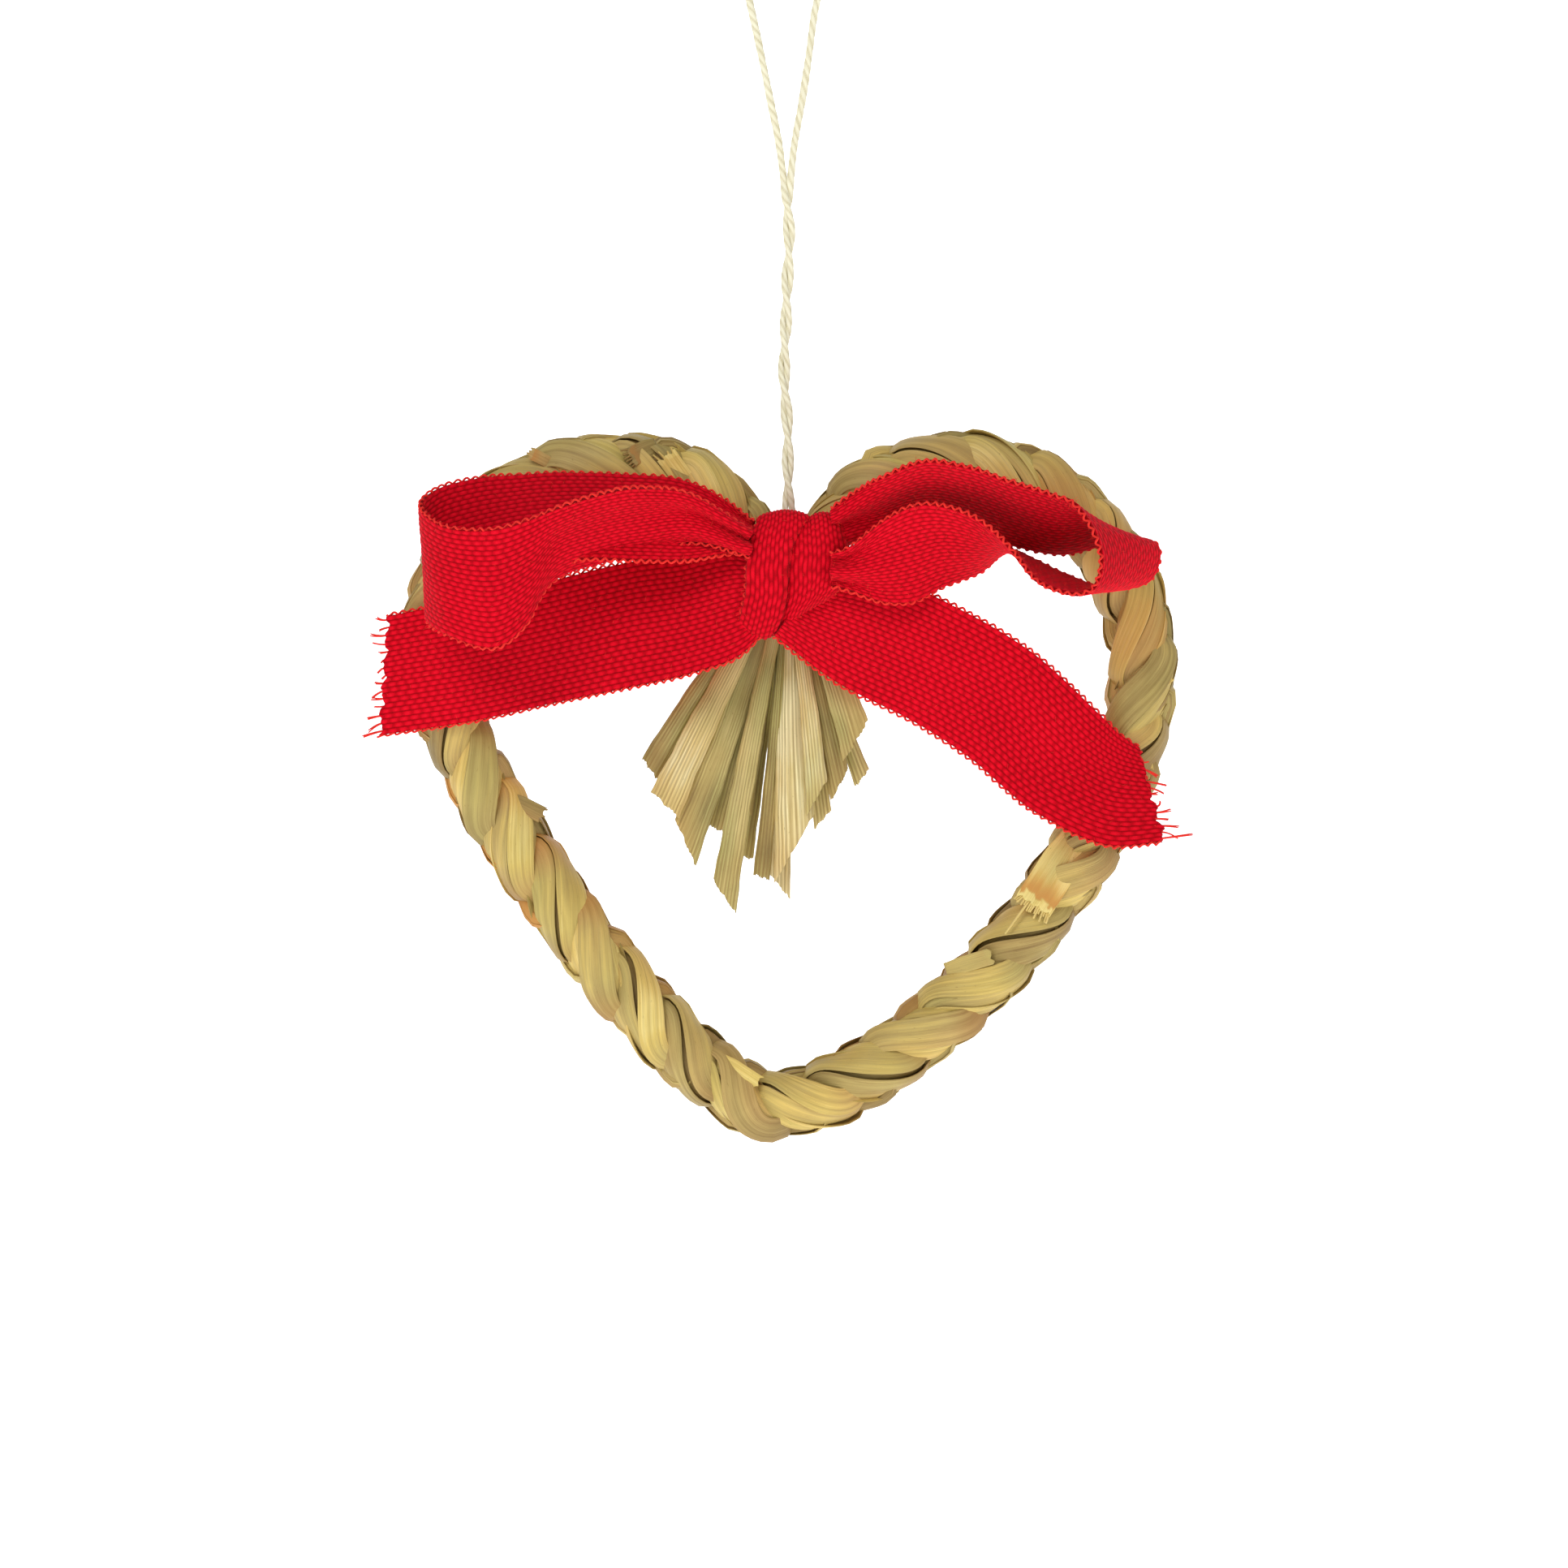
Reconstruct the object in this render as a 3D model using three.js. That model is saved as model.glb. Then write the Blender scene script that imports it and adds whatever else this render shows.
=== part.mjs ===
// A plaited straw heart with a ribbon bow, hung by a loop of twine.
// Millimetres, +Z up, the front of the heart faces -Y.
// The origin is the inside of the loop's crown, where the hook carries it.

import * as THREE from 'three';

// ---------------------------------------------------------------- driving dimensions

// Space left between pieces that touch on the real ornament.
const CLEARANCE = 0.3;

// Twine: one strand goes up from the neck, over the hook and back down.
const TWINE_THICKNESS = 0.8;
const TWINE_SIDES = 8;
const TWINE_STEP = 2.4;
const STEM_TOP = -38;
const STEM_BEND = -44;
const BEND_GAP = 1;
const STEM_TURNS = 4;
const STEM_X = 0.4;
const HANG_Y = -2.6;

// Height of the binding below the hook, and its place to the side.
const NECK_DROP = 88;
const NECK_X = 0.6;

// The heart, measured on the middle line of the plait from the binding.
const HEART_HALF_WIDTH = 46;
const LOBE_RISE = 13.7;
const LOBE_OUT = 22.3;
const WIDEST_DROP_LEFT = 9.5;
const WIDEST_DROP_RIGHT = 13;
const TIP_DROP = 69.4;
const TIP_OUT = -2.5;
const NECK_HALF_SPREAD = 2.6;
const BUTT_DROP = 4;
const NECK_STRAIGHT = 5;

// Reach of the curve's handles, which set how full each stretch of the heart is.
const NECK_HANDLE = 5;
const LOBE_INNER_HANDLE = 11;
const ROUND_HANDLE = 0.552;
const SIDE_HANDLE_LEFT = 18;
const SIDE_HANDLE_RIGHT = 24;
const TIP_HANDLE_LEFT = 9;
const TIP_HANDLE_RIGHT = 16;

// The plait: three strands that go over each other at the front and at the back.
const STRAND_COUNT = 3;
const PLAIT_PITCH = 33;
const STRAND_WIDTH = 3.6;
const STRAND_THICKNESS = 1.7;
const STRAND_SIDES = 8;
const STEPS_PER_PITCH = 10;
const NECK_GATHER = 0.5;
const GATHER_RUN = 16;

// How far a strand swings to the front and back, and to either side in the heart's plane.
// A wider strand leans further over, so both swings grow with the width.
const SWING_FORWARD = STRAND_THICKNESS + 0.28 * STRAND_WIDTH;
const SWING_SIDE = 0.556 * STRAND_WIDTH;

// The thread that binds the two ends, and the twine's own turn round them.
const THREAD_THICKNESS = 0.8;
const THREAD_HEIGHT = 3;
const THREAD_BASE = -3;
const RING_SEGMENTS = 24;

// Ribbon.
const RIBBON_WIDTH = 16;
const RIBBON_THICKNESS = 0.8;
const BAND_BASE = -3.2;
const BAND_HEIGHT = 5.2;
const KNOT_X = 0.5;
const KNOT_HALF_WIDTH = 6.6;
const KNOT_RISE = 7.4;
const KNOT_DROP = 8.8;
const KNOT_DEPTH = 4.6;
const KNOT_BEVEL = 0.7;

// Fan of cut straw ends.
const STRAW_THICKNESS = 0.8;
const FAN_APEX = 2;
const FAN_ROOT_REACH = 7;
const FAN_ROOT_WIDTH = 0.9;
const FAN_LAYERS = 5;

// Colours.
const STRAW_COLOURS = [0xc9b26a, 0xb8a860, 0xd6c27c];
const RIBBON_COLOUR = 0xc4141c;
const TWINE_COLOUR = 0xe6e0d0;
const THREAD_COLOUR = 0xc8b890;

// ---------------------------------------------------------------- hand-set shapes

// The loop over the hook, from the stem's left strand round to its right one.
const LOOP_ROUTE = [
  [-0.2, HANG_Y, -37], [-0.7, HANG_Y, -32.5], [-1.7, HANG_Y, -27.5], [-2.9, -2.4, -21.5],
  [-4.3, -2, -15], [-5.6, -1.4, -9.5], [-6.4, -0.6, -5], [-5.4, -0.1, -1.6],
  [-2.8, 0, 0], [0, 0, 0.4], [2.8, 0, 0], [5.4, -0.1, -1.6], [6.3, -0.6, -5],
  [5.5, -1.4, -9.5], [4.1, -2, -15], [3.2, -2.4, -21.5], [2.3, HANG_Y, -27.5],
  [1.4, HANG_Y, -32.5], [1, HANG_Y, -37],
];

// Ribbon stretches. out: from the knot's side; forward: from the plait's front face;
// edge: from the lower edge to the upper one, with x away from the knot, as a share of
// the ribbon's width.
const LEFT_LOOP = [
  { out: 0, forward: 4.7, z: 3.8, edge: [0, 0, 0.25] },
  { out: 6, forward: 4.1, z: 5, edge: [0, 0, 0.75] },
  { out: 21, forward: 3.5, z: 4.6, edge: [0, 0, 0.98] },
  { out: 34, forward: 4.7, z: 3.6, edge: [0, -0.08, 0.98] },
  { out: 39.5, forward: 9.7, z: 1, edge: [0, -0.1, 0.9] },
  { out: 32, forward: 15.7, z: -3, edge: [0, -0.1, 0.92] },
  { out: 22.5, forward: 14.2, z: 2, edge: [-0.1, -0.1, 0.76] },
  { out: 12, forward: 10.7, z: 5.5, edge: [-0.1, 0, 0.54] },
  { out: 0, forward: 7.3, z: 3.6, edge: [0, 0, 0.2] },
];
const RIGHT_LOOP = [
  { out: 0, forward: 4.9, z: 4.6, edge: [0, -0.05, 0.2] },
  { out: 5.4, forward: 6.7, z: 8, edge: [-0.1, -0.45, 0.42] },
  { out: 16, forward: 9.3, z: 8.4, edge: [-0.15, -0.78, 0.52] },
  { out: 31, forward: 11.1, z: 5.4, edge: [-0.3, -0.84, 0.32] },
  { out: 35.6, forward: 12.1, z: 1.2, edge: [-0.5, -0.8, 0.1] },
  { out: 31.5, forward: 11.7, z: -3.3, edge: [-0.35, -0.75, -0.06] },
  { out: 23, forward: 9.1, z: -0.2, edge: [-0.15, -0.68, 0] },
  { out: 12.4, forward: 8.1, z: 2.4, edge: [0, -0.45, 0.58] },
  { out: 5.4, forward: 7.6, z: 1, edge: [0, -0.12, 0.66] },
  { out: 0, forward: 7.3, z: 0, edge: [0, 0, 0.28] },
];
const LEFT_TAIL = [
  { out: 0, forward: 4.1, z: -5, edge: [0, 0, 0.5] },
  { out: 7, forward: 2.5, z: -7.2, edge: [0.1, 0, 0.86] },
  { out: 21, forward: 1.7, z: -9, edge: [0.05, 0, 0.98] },
  { out: 34, forward: 1.7, z: -11.6, edge: [0, 0, 0.98] },
  { out: 45, forward: 2.5, z: -13.5, edge: [-0.06, 0.05, 0.96] },
];
const RIGHT_TAIL = [
  { out: 0.6, forward: 4.3, z: -8, edge: [0.2, 0, 0.52] },
  { out: 4, forward: 2.9, z: -8.8, edge: [0.3, 0, 0.9] },
  { out: 12, forward: 1.9, z: -12.5, edge: [0.42, 0, 0.88] },
  { out: 20, forward: 1.7, z: -17.5, edge: [0.5, 0, 0.85] },
  { out: 28.6, forward: 2.5, z: -25, edge: [0.5, 0.1, 0.8] },
  { out: 35, forward: 4.3, z: -29.8, edge: [0.36, 0.36, 0.7] },
  { out: 40, forward: 5.7, z: -31.4, edge: [0, 0.56, 0.5] },
];

// Fan: angle from straight down, in degrees, towards +X; reach from the apex to the tip;
// cut: slant of the tip in degrees; layer 0 is at the front.
const FAN = [
  { layer: 1, angle: -34, reach: 33, width: 2.2, cut: 20 },
  { layer: 0, angle: -27, reach: 36, width: 4.2, cut: 25 },
  { layer: 1, angle: -19, reach: 39.5, width: 4, cut: 30 },
  { layer: 2, angle: -15.4, reach: 36.6, width: 2.2, cut: 10 },
  { layer: 0, angle: -11.3, reach: 45, width: 3.4, cut: 30 },
  { layer: 3, angle: -10.3, reach: 34, width: 2, cut: 0 },
  { layer: 4, angle: -9, reach: 39.4, width: 2.2, cut: 10 },
  { layer: 2, angle: -4, reach: 42.6, width: 2, cut: 15 },
  { layer: 3, angle: 0.5, reach: 42, width: 3, cut: -20 },
  { layer: 1, angle: 0, reach: 39.5, width: 4.4, cut: -45 },
  { layer: 0, angle: 7, reach: 33, width: 3.6, cut: -50 },
  { layer: 2, angle: 7.4, reach: 34.5, width: 1.8, cut: -10 },
  { layer: 1, angle: 12.5, reach: 30.5, width: 2.4, cut: -40 },
  { layer: 2, angle: 17.5, reach: 30.4, width: 1.8, cut: -15 },
  { layer: 0, angle: 22, reach: 26, width: 4.4, cut: -30 },
];

// ---------------------------------------------------------------- small helpers

/** One named sub-part with a material of its own. */
function piece(name, geometry, color, roughness) {
  const material = new THREE.MeshStandardMaterial({ color, roughness, metalness: 0 });
  const mesh = new THREE.Mesh(geometry, material);
  mesh.name = name;
  return mesh;
}

/** A closed outline of the given number of sides round an ellipse. */
function ellipseShape(halfWidth, halfHeight, sides) {
  const points = [];
  for (let i = 0; i < sides; i += 1) {
    const turn = (2 * Math.PI * (i + 0.5)) / sides;
    points.push(new THREE.Vector2(halfWidth * Math.cos(turn), halfHeight * Math.sin(turn)));
  }
  return new THREE.Shape(points);
}

/** A section extruded one unit, with each slice carried to its station along a path. */
function bentExtrusion(section, steps, station) {
  const geometry = new THREE.ExtrudeGeometry(section, { depth: 1, steps, bevelEnabled: false });
  const position = geometry.getAttribute('position');
  for (let i = 0; i < position.count; i += 1) {
    const { at, across, through } = station(position.getZ(i));
    const point = at.clone();
    point.addScaledVector(across, position.getX(i));
    point.addScaledVector(through, position.getY(i));
    position.setXYZ(i, point.x, point.y, point.z);
  }
  return geometry;
}

/** A round tube along a smooth curve through the points. */
function tube(points, thickness, sides, step) {
  const path = new THREE.CatmullRomCurve3(points);
  const steps = Math.ceil(path.getLength() / step);
  const section = ellipseShape(thickness / 2, thickness / 2, sides);
  return new THREE.ExtrudeGeometry(section, { steps, extrudePath: path, bevelEnabled: false });
}

/** An oval ring that lies flat round the neck. */
function ovalRing(innerHalfWidth, innerHalfDepth, wall, base, height) {
  const shape = ellipseShape(innerHalfWidth + wall, innerHalfDepth + wall, RING_SEGMENTS);
  shape.holes.push(ellipseShape(innerHalfWidth, innerHalfDepth, RING_SEGMENTS));
  const geometry = new THREE.ExtrudeGeometry(shape, { depth: height, bevelEnabled: false });
  geometry.translate(0, 0, base);
  return geometry;
}

// ---------------------------------------------------------------- the plait

/** One lobe of the heart's middle line, from the neck to the tip. side is -1 or 1. */
function lobeCurves(side) {
  const left = side < 0;
  const neckX = side * NECK_HALF_SPREAD;
  const lobeX = side * LOBE_OUT;
  const widestX = side * HEART_HALF_WIDTH;
  const widestZ = left ? -WIDEST_DROP_LEFT : -WIDEST_DROP_RIGHT;
  const sideHandle = left ? SIDE_HANDLE_LEFT : SIDE_HANDLE_RIGHT;
  const tipHandle = left ? TIP_HANDLE_LEFT : TIP_HANDLE_RIGHT;
  const neckZ = NECK_STRAIGHT - BUTT_DROP;
  const at = (x, z) => new THREE.Vector3(x, 0, z);
  const outerX = lobeX + ROUND_HANDLE * (widestX - lobeX);
  const upperZ = widestZ + ROUND_HANDLE * (LOBE_RISE - widestZ);
  return [
    [at(neckX, -BUTT_DROP), at(neckX, -BUTT_DROP / 2), at(neckX, neckZ / 2), at(neckX, neckZ)],
    [at(neckX, neckZ), at(neckX, neckZ + NECK_HANDLE),
      at(lobeX - side * LOBE_INNER_HANDLE, LOBE_RISE), at(lobeX, LOBE_RISE)],
    [at(lobeX, LOBE_RISE), at(outerX, LOBE_RISE), at(widestX, upperZ), at(widestX, widestZ)],
    [at(widestX, widestZ), at(widestX, widestZ - sideHandle),
      at(TIP_OUT + side * tipHandle, -TIP_DROP), at(TIP_OUT, -TIP_DROP)],
  ];
}

/** The heart's middle line: down the left lobe to the tip, then back up the right one. */
function heartLine() {
  const line = new THREE.CurvePath();
  for (const [a, b, c, d] of lobeCurves(-1)) {
    line.add(new THREE.CubicBezierCurve3(a, b, c, d));
  }
  for (const [a, b, c, d] of lobeCurves(1).reverse()) {
    line.add(new THREE.CubicBezierCurve3(d, c, b, a));
  }
  return line;
}

/** How far the plait has opened out at a distance from either bound end. */
function gather(distance) {
  const opened = THREE.MathUtils.smoothstep(distance, NECK_STRAIGHT, NECK_STRAIGHT + GATHER_RUN);
  return THREE.MathUtils.lerp(NECK_GATHER, 1, opened);
}

/** One strand of the plait. Its flat side faces away from the plait's middle line. */
function strandGeometry(line, index) {
  const length = line.getLength();
  const pitches = Math.round(length / PLAIT_PITCH);
  const yAxis = new THREE.Vector3(0, 1, 0);

  const slice = (t) => {
    const share = THREE.MathUtils.clamp(t, 0, 1);
    const distance = share * length;
    const size = gather(Math.min(distance, length - distance));
    const tangent = line.getTangent(THREE.MathUtils.clamp(share, 0.0005, 0.9995));
    const outward = new THREE.Vector3().crossVectors(yAxis, tangent).normalize();
    const phase = 2 * Math.PI * (share * pitches + index / STRAND_COUNT);
    const at = line.getPoint(share);
    at.addScaledVector(yAxis, -size * SWING_FORWARD * Math.sin(phase));
    at.addScaledVector(outward, -size * SWING_SIDE * Math.sin(2 * phase));
    const flat = outward.multiplyScalar(SWING_FORWARD);
    flat.addScaledVector(yAxis, -2 * SWING_SIDE * Math.cos(phase));
    return { at, flat, size };
  };

  const station = (t) => {
    const { at, flat, size } = slice(t);
    const along = slice(t + 0.001).at.sub(slice(t - 0.001).at).normalize();
    const across = flat.addScaledVector(along, -flat.dot(along)).normalize();
    const through = new THREE.Vector3().crossVectors(along, across);
    return { at, across: across.multiplyScalar(size), through: through.multiplyScalar(size) };
  };

  const section = ellipseShape(STRAND_WIDTH / 2, STRAND_THICKNESS / 2, STRAND_SIDES);
  return bentExtrusion(section, pitches * STEPS_PER_PITCH, station);
}

function plait() {
  const group = new THREE.Group();
  const line = heartLine();
  for (let index = 0; index < STRAND_COUNT; index += 1) {
    const geometry = strandGeometry(line, index);
    group.add(piece(`plait_strand_${index + 1}`, geometry, STRAW_COLOURS[index], 0.5));
  }
  return group;
}

// ---------------------------------------------------------------- the neck

/** Half width and half depth of the plait, at a share of its full size. */
function plaitHalfSize(size) {
  return {
    width: size * (SWING_SIDE + STRAND_WIDTH / 2),
    depth: size * (SWING_FORWARD + STRAND_THICKNESS / 2),
  };
}

// Inner half sizes of the oval that goes round the plait ends with room at the corners.
const OVAL_ROOM = 1.25;
const NECK_END = plaitHalfSize(NECK_GATHER);
const THREAD_HALF_WIDTH = (NECK_HALF_SPREAD + NECK_END.width) * OVAL_ROOM;
const THREAD_HALF_DEPTH = NECK_END.depth * OVAL_ROOM + CLEARANCE;
const BAND_HALF_WIDTH = THREAD_HALF_WIDTH + THREAD_THICKNESS + CLEARANCE;
const BAND_HALF_DEPTH = THREAD_HALF_DEPTH + THREAD_THICKNESS + CLEARANCE;
const TIE_BASE = THREAD_BASE + THREAD_HEIGHT + CLEARANCE;
const KNOT_BACK = -(BAND_HALF_DEPTH + RIBBON_THICKNESS + CLEARANCE + KNOT_BEVEL);
const PLAIT_FRONT = -plaitHalfSize(1).depth;

/** The thread's turns and the twine's turn above them. */
function bindings() {
  const group = new THREE.Group();
  const thread = ovalRing(
    THREAD_HALF_WIDTH, THREAD_HALF_DEPTH, THREAD_THICKNESS, THREAD_BASE, THREAD_HEIGHT);
  const tie = ovalRing(
    THREAD_HALF_WIDTH, THREAD_HALF_DEPTH, TWINE_THICKNESS, TIE_BASE, TWINE_THICKNESS);
  group.add(piece('binding_thread', thread, THREAD_COLOUR, 0.8));
  group.add(piece('twine_tie', tie, TWINE_COLOUR, 0.9));
  return group;
}

// ---------------------------------------------------------------- the fan

/** A flat straw end, narrow at the binding, with a slanted cut at its tip. */
function strawEndGeometry({ reach, width, cut }) {
  const slant = (width / 2) * Math.tan(THREE.MathUtils.degToRad(cut));
  const shape = new THREE.Shape([
    new THREE.Vector2(-FAN_ROOT_WIDTH / 2, -FAN_ROOT_REACH),
    new THREE.Vector2(-width / 2, -reach - slant),
    new THREE.Vector2(width / 2, -reach + slant),
    new THREE.Vector2(FAN_ROOT_WIDTH / 2, -FAN_ROOT_REACH),
  ]);
  const geometry = new THREE.ExtrudeGeometry(shape, { depth: STRAW_THICKNESS, bevelEnabled: false });
  geometry.rotateX(Math.PI / 2);
  return geometry;
}

function fan() {
  const group = new THREE.Group();
  const pitch = STRAW_THICKNESS + CLEARANCE;
  const front = -((FAN_LAYERS - 1) / 2) * pitch;
  FAN.forEach((straw, index) => {
    const name = `straw_end_${String(index + 1).padStart(2, '0')}`;
    const colour = STRAW_COLOURS[index % STRAW_COLOURS.length];
    const mesh = piece(name, strawEndGeometry(straw), colour, 0.5);
    mesh.position.set(0, front + straw.layer * pitch + STRAW_THICKNESS / 2, FAN_APEX);
    mesh.rotation.y = THREE.MathUtils.degToRad(-straw.angle);
    group.add(mesh);
  });
  return group;
}

// ---------------------------------------------------------------- the bow

/** A stretch of ribbon from the knot's side. side is -1 for the left and 1 for the right. */
function ribbonGeometry(stations, side, steps) {
  const start = KNOT_HALF_WIDTH + CLEARANCE;
  const points = stations.map(({ out, forward, z }) => (
    new THREE.Vector3(side * (start + out), PLAIT_FRONT - forward, z)));
  const edges = stations.map(({ edge }) => new THREE.Vector3(side * edge[0], edge[1], edge[2]));
  const centreLine = new THREE.CatmullRomCurve3(points);
  const edgeLine = new THREE.CatmullRomCurve3(edges);
  const station = (t) => {
    const along = centreLine.getTangent(t);
    const edge = edgeLine.getPoint(t);
    const through = new THREE.Vector3().crossVectors(along, edge).normalize();
    return {
      at: centreLine.getPoint(t),
      across: edge.multiplyScalar(RIBBON_WIDTH),
      through: through.multiplyScalar(RIBBON_THICKNESS),
    };
  };
  const section = new THREE.Shape([
    new THREE.Vector2(-0.5, -0.5),
    new THREE.Vector2(0.5, -0.5),
    new THREE.Vector2(0.5, 0.5),
    new THREE.Vector2(-0.5, 0.5),
  ]);
  return bentExtrusion(section, steps, station);
}

/** The knot's front: upright at the top, its foot slanting down to the left. */
function knotGeometry() {
  const half = KNOT_HALF_WIDTH - KNOT_BEVEL;
  const top = KNOT_RISE - KNOT_BEVEL;
  const foot = -(KNOT_DROP - KNOT_BEVEL);
  const shape = new THREE.Shape([
    new THREE.Vector2(-half, foot + 1),
    new THREE.Vector2(-half * 0.5, foot),
    new THREE.Vector2(half * 0.9, foot / 3),
    new THREE.Vector2(half, 0),
    new THREE.Vector2(half * 0.75, top),
    new THREE.Vector2(-half * 0.6, top),
    new THREE.Vector2(-half * 0.85, top / 3),
  ]);
  const geometry = new THREE.ExtrudeGeometry(shape, {
    depth: KNOT_DEPTH,
    bevelThickness: KNOT_BEVEL,
    bevelSize: KNOT_BEVEL,
    bevelSegments: 2,
  });
  geometry.rotateX(Math.PI / 2);
  return geometry;
}

function bow() {
  const group = new THREE.Group();
  const ribbon = (name, geometry) => piece(name, geometry, RIBBON_COLOUR, 0.8);
  const band = ovalRing(
    BAND_HALF_WIDTH, BAND_HALF_DEPTH, RIBBON_THICKNESS, BAND_BASE, BAND_HEIGHT);
  group.add(ribbon('ribbon_neck_band', band));

  const front = new THREE.Group();
  front.position.x = KNOT_X;
  const knot = ribbon('ribbon_knot', knotGeometry());
  knot.position.y = KNOT_BACK;
  front.add(knot);
  front.add(ribbon('ribbon_loop_left', ribbonGeometry(LEFT_LOOP, -1, 32)));
  front.add(ribbon('ribbon_loop_right', ribbonGeometry(RIGHT_LOOP, 1, 36)));
  front.add(ribbon('ribbon_tail_left', ribbonGeometry(LEFT_TAIL, -1, 14)));
  front.add(ribbon('ribbon_tail_right', ribbonGeometry(RIGHT_TAIL, 1, 20)));
  group.add(front);
  return group;
}

// ---------------------------------------------------------------- the twine

/** One strand of the twisted stem between two heights. half is 0 or 1. */
function stemGeometry(fromZ, toZ, half, stemFoot) {
  const radius = (TWINE_THICKNESS + CLEARANCE) / 2;
  const points = [];
  const count = Math.ceil((fromZ - toZ) / TWINE_STEP) + 1;
  for (let i = 0; i < count; i += 1) {
    const z = THREE.MathUtils.lerp(fromZ, toZ, i / (count - 1));
    const share = (STEM_TOP - z) / (STEM_TOP - stemFoot);
    const turn = Math.PI * (2 * STEM_TURNS * share + 1 - half);
    const x = STEM_X + radius * Math.cos(turn);
    points.push(new THREE.Vector3(x, HANG_Y + radius * Math.sin(turn), z));
  }
  return tube(points, TWINE_THICKNESS, TWINE_SIDES, TWINE_STEP);
}

function twine() {
  const group = new THREE.Group();
  const twinePiece = (name, geometry) => piece(name, geometry, TWINE_COLOUR, 0.9);
  const route = LOOP_ROUTE.map(([x, y, z]) => new THREE.Vector3(x, y, z));
  group.add(twinePiece('twine_loop', tube(route, TWINE_THICKNESS, TWINE_SIDES, TWINE_STEP)));
  const stemFoot = -NECK_DROP + BAND_BASE + BAND_HEIGHT + CLEARANCE;
  ['left', 'right'].forEach((name, half) => {
    const upper = stemGeometry(STEM_TOP, STEM_BEND, half, stemFoot);
    const lower = stemGeometry(STEM_BEND - BEND_GAP, stemFoot, half, stemFoot);
    group.add(twinePiece(`twine_stem_upper_${name}`, upper));
    group.add(twinePiece(`twine_stem_lower_${name}`, lower));
  });
  return group;
}

// ---------------------------------------------------------------- the ornament

const group = new THREE.Group();
const heart = new THREE.Group();
heart.position.set(NECK_X, 0, -NECK_DROP);
heart.add(plait(), bindings(), fan(), bow());
group.add(heart, twine());

export default group;
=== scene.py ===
"""A plaited straw heart with a ribbon bow, hung by a loop of twine.

Shapes are worked out in millimetres from the top of the binding, with +X to the right,
+Y to the back and +Z up. They become metres in the frame when a piece is made.
"""

import logging
import math
from dataclasses import dataclass, field
from enum import Enum

import bpy
import numpy as np
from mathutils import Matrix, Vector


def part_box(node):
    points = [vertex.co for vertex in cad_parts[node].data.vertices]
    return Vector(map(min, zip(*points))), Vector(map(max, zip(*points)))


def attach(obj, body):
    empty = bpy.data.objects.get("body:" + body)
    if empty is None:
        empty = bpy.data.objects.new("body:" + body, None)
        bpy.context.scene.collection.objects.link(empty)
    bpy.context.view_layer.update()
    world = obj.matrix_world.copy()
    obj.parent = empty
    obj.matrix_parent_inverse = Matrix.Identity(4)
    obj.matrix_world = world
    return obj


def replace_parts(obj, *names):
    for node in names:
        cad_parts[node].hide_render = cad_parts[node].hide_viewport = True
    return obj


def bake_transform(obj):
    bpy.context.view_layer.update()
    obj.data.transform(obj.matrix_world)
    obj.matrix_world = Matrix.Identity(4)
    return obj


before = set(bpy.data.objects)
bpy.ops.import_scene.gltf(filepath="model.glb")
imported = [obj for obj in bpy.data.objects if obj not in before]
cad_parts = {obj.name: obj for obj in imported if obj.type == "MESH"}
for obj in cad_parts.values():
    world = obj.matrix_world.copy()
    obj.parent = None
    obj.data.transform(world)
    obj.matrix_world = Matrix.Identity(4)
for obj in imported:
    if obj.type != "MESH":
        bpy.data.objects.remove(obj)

MM = 0.001
TURN = 2 * math.pi
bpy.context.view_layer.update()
NECK_LOW, NECK_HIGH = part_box("binding_thread")
NECK = np.array([(NECK_LOW.x + NECK_HIGH.x) / 2, 0.0, NECK_HIGH.z])
HOOK = np.zeros(3)

log = logging.getLogger("straw heart")

Colour = tuple[float, float, float]


class Body(str, Enum):
    """The moving bodies of the frame."""

    LOOP = "loop"
    STEM_UPPER = "stem_upper"
    STEM_LOWER = "stem_lower"
    HEART = "heart"


class Slot(str, Enum):
    """The finishes that a piece can be repainted by."""

    STRAW = "straw"
    STRAW_ENDS = "straw_ends"
    THREAD = "thread"
    RIBBON = "ribbon"
    TWINE = "twine"


class Side(int, Enum):
    """The two sides of the heart."""

    LEFT = -1
    RIGHT = 1


# ------------------------------------------------------------------ shader bench


def srgb(red: float, green: float, blue: float) -> Colour:
    """A screen colour from 0 to 255 as a linear colour."""

    def linear(level: float) -> float:
        """One channel as a linear level."""
        share = level / 255
        return share / 12.92 if share <= 0.04045 else ((share + 0.055) / 1.055) ** 2.4

    return linear(red), linear(green), linear(blue)


class Link:
    """A node's output. Arithmetic on it adds Math nodes."""

    def __init__(self, bench: "Bench", socket: bpy.types.NodeSocket) -> None:
        """Keeps the bench and the socket."""
        self.bench = bench
        self.socket = socket

    def _math(self, operation: str, first: "Link | float", second: "Link | float") -> "Link":
        """A Math node on two values."""
        return self.bench.node("ShaderNodeMath", {"operation": operation}, {0: first, 1: second})

    def __add__(self, other: "Link | float") -> "Link":
        """The sum."""
        return self._math("ADD", self, other)

    def __sub__(self, other: "Link | float") -> "Link":
        """The difference."""
        return self._math("SUBTRACT", self, other)

    def __rsub__(self, other: "Link | float") -> "Link":
        """The difference, the other way round."""
        return self._math("SUBTRACT", other, self)

    def __mul__(self, other: "Link | float") -> "Link":
        """The product."""
        return self._math("MULTIPLY", self, other)

    def __pow__(self, other: "Link | float") -> "Link":
        """The power."""
        return self._math("POWER", self, other)

    __radd__ = __add__
    __rmul__ = __mul__

    def clamped(self) -> "Link":
        """The value kept between 0 and 1."""
        return self.bench.node(
            "ShaderNodeMath", {"operation": "ADD", "use_clamp": True}, {0: self, 1: 0.0}
        )


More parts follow.
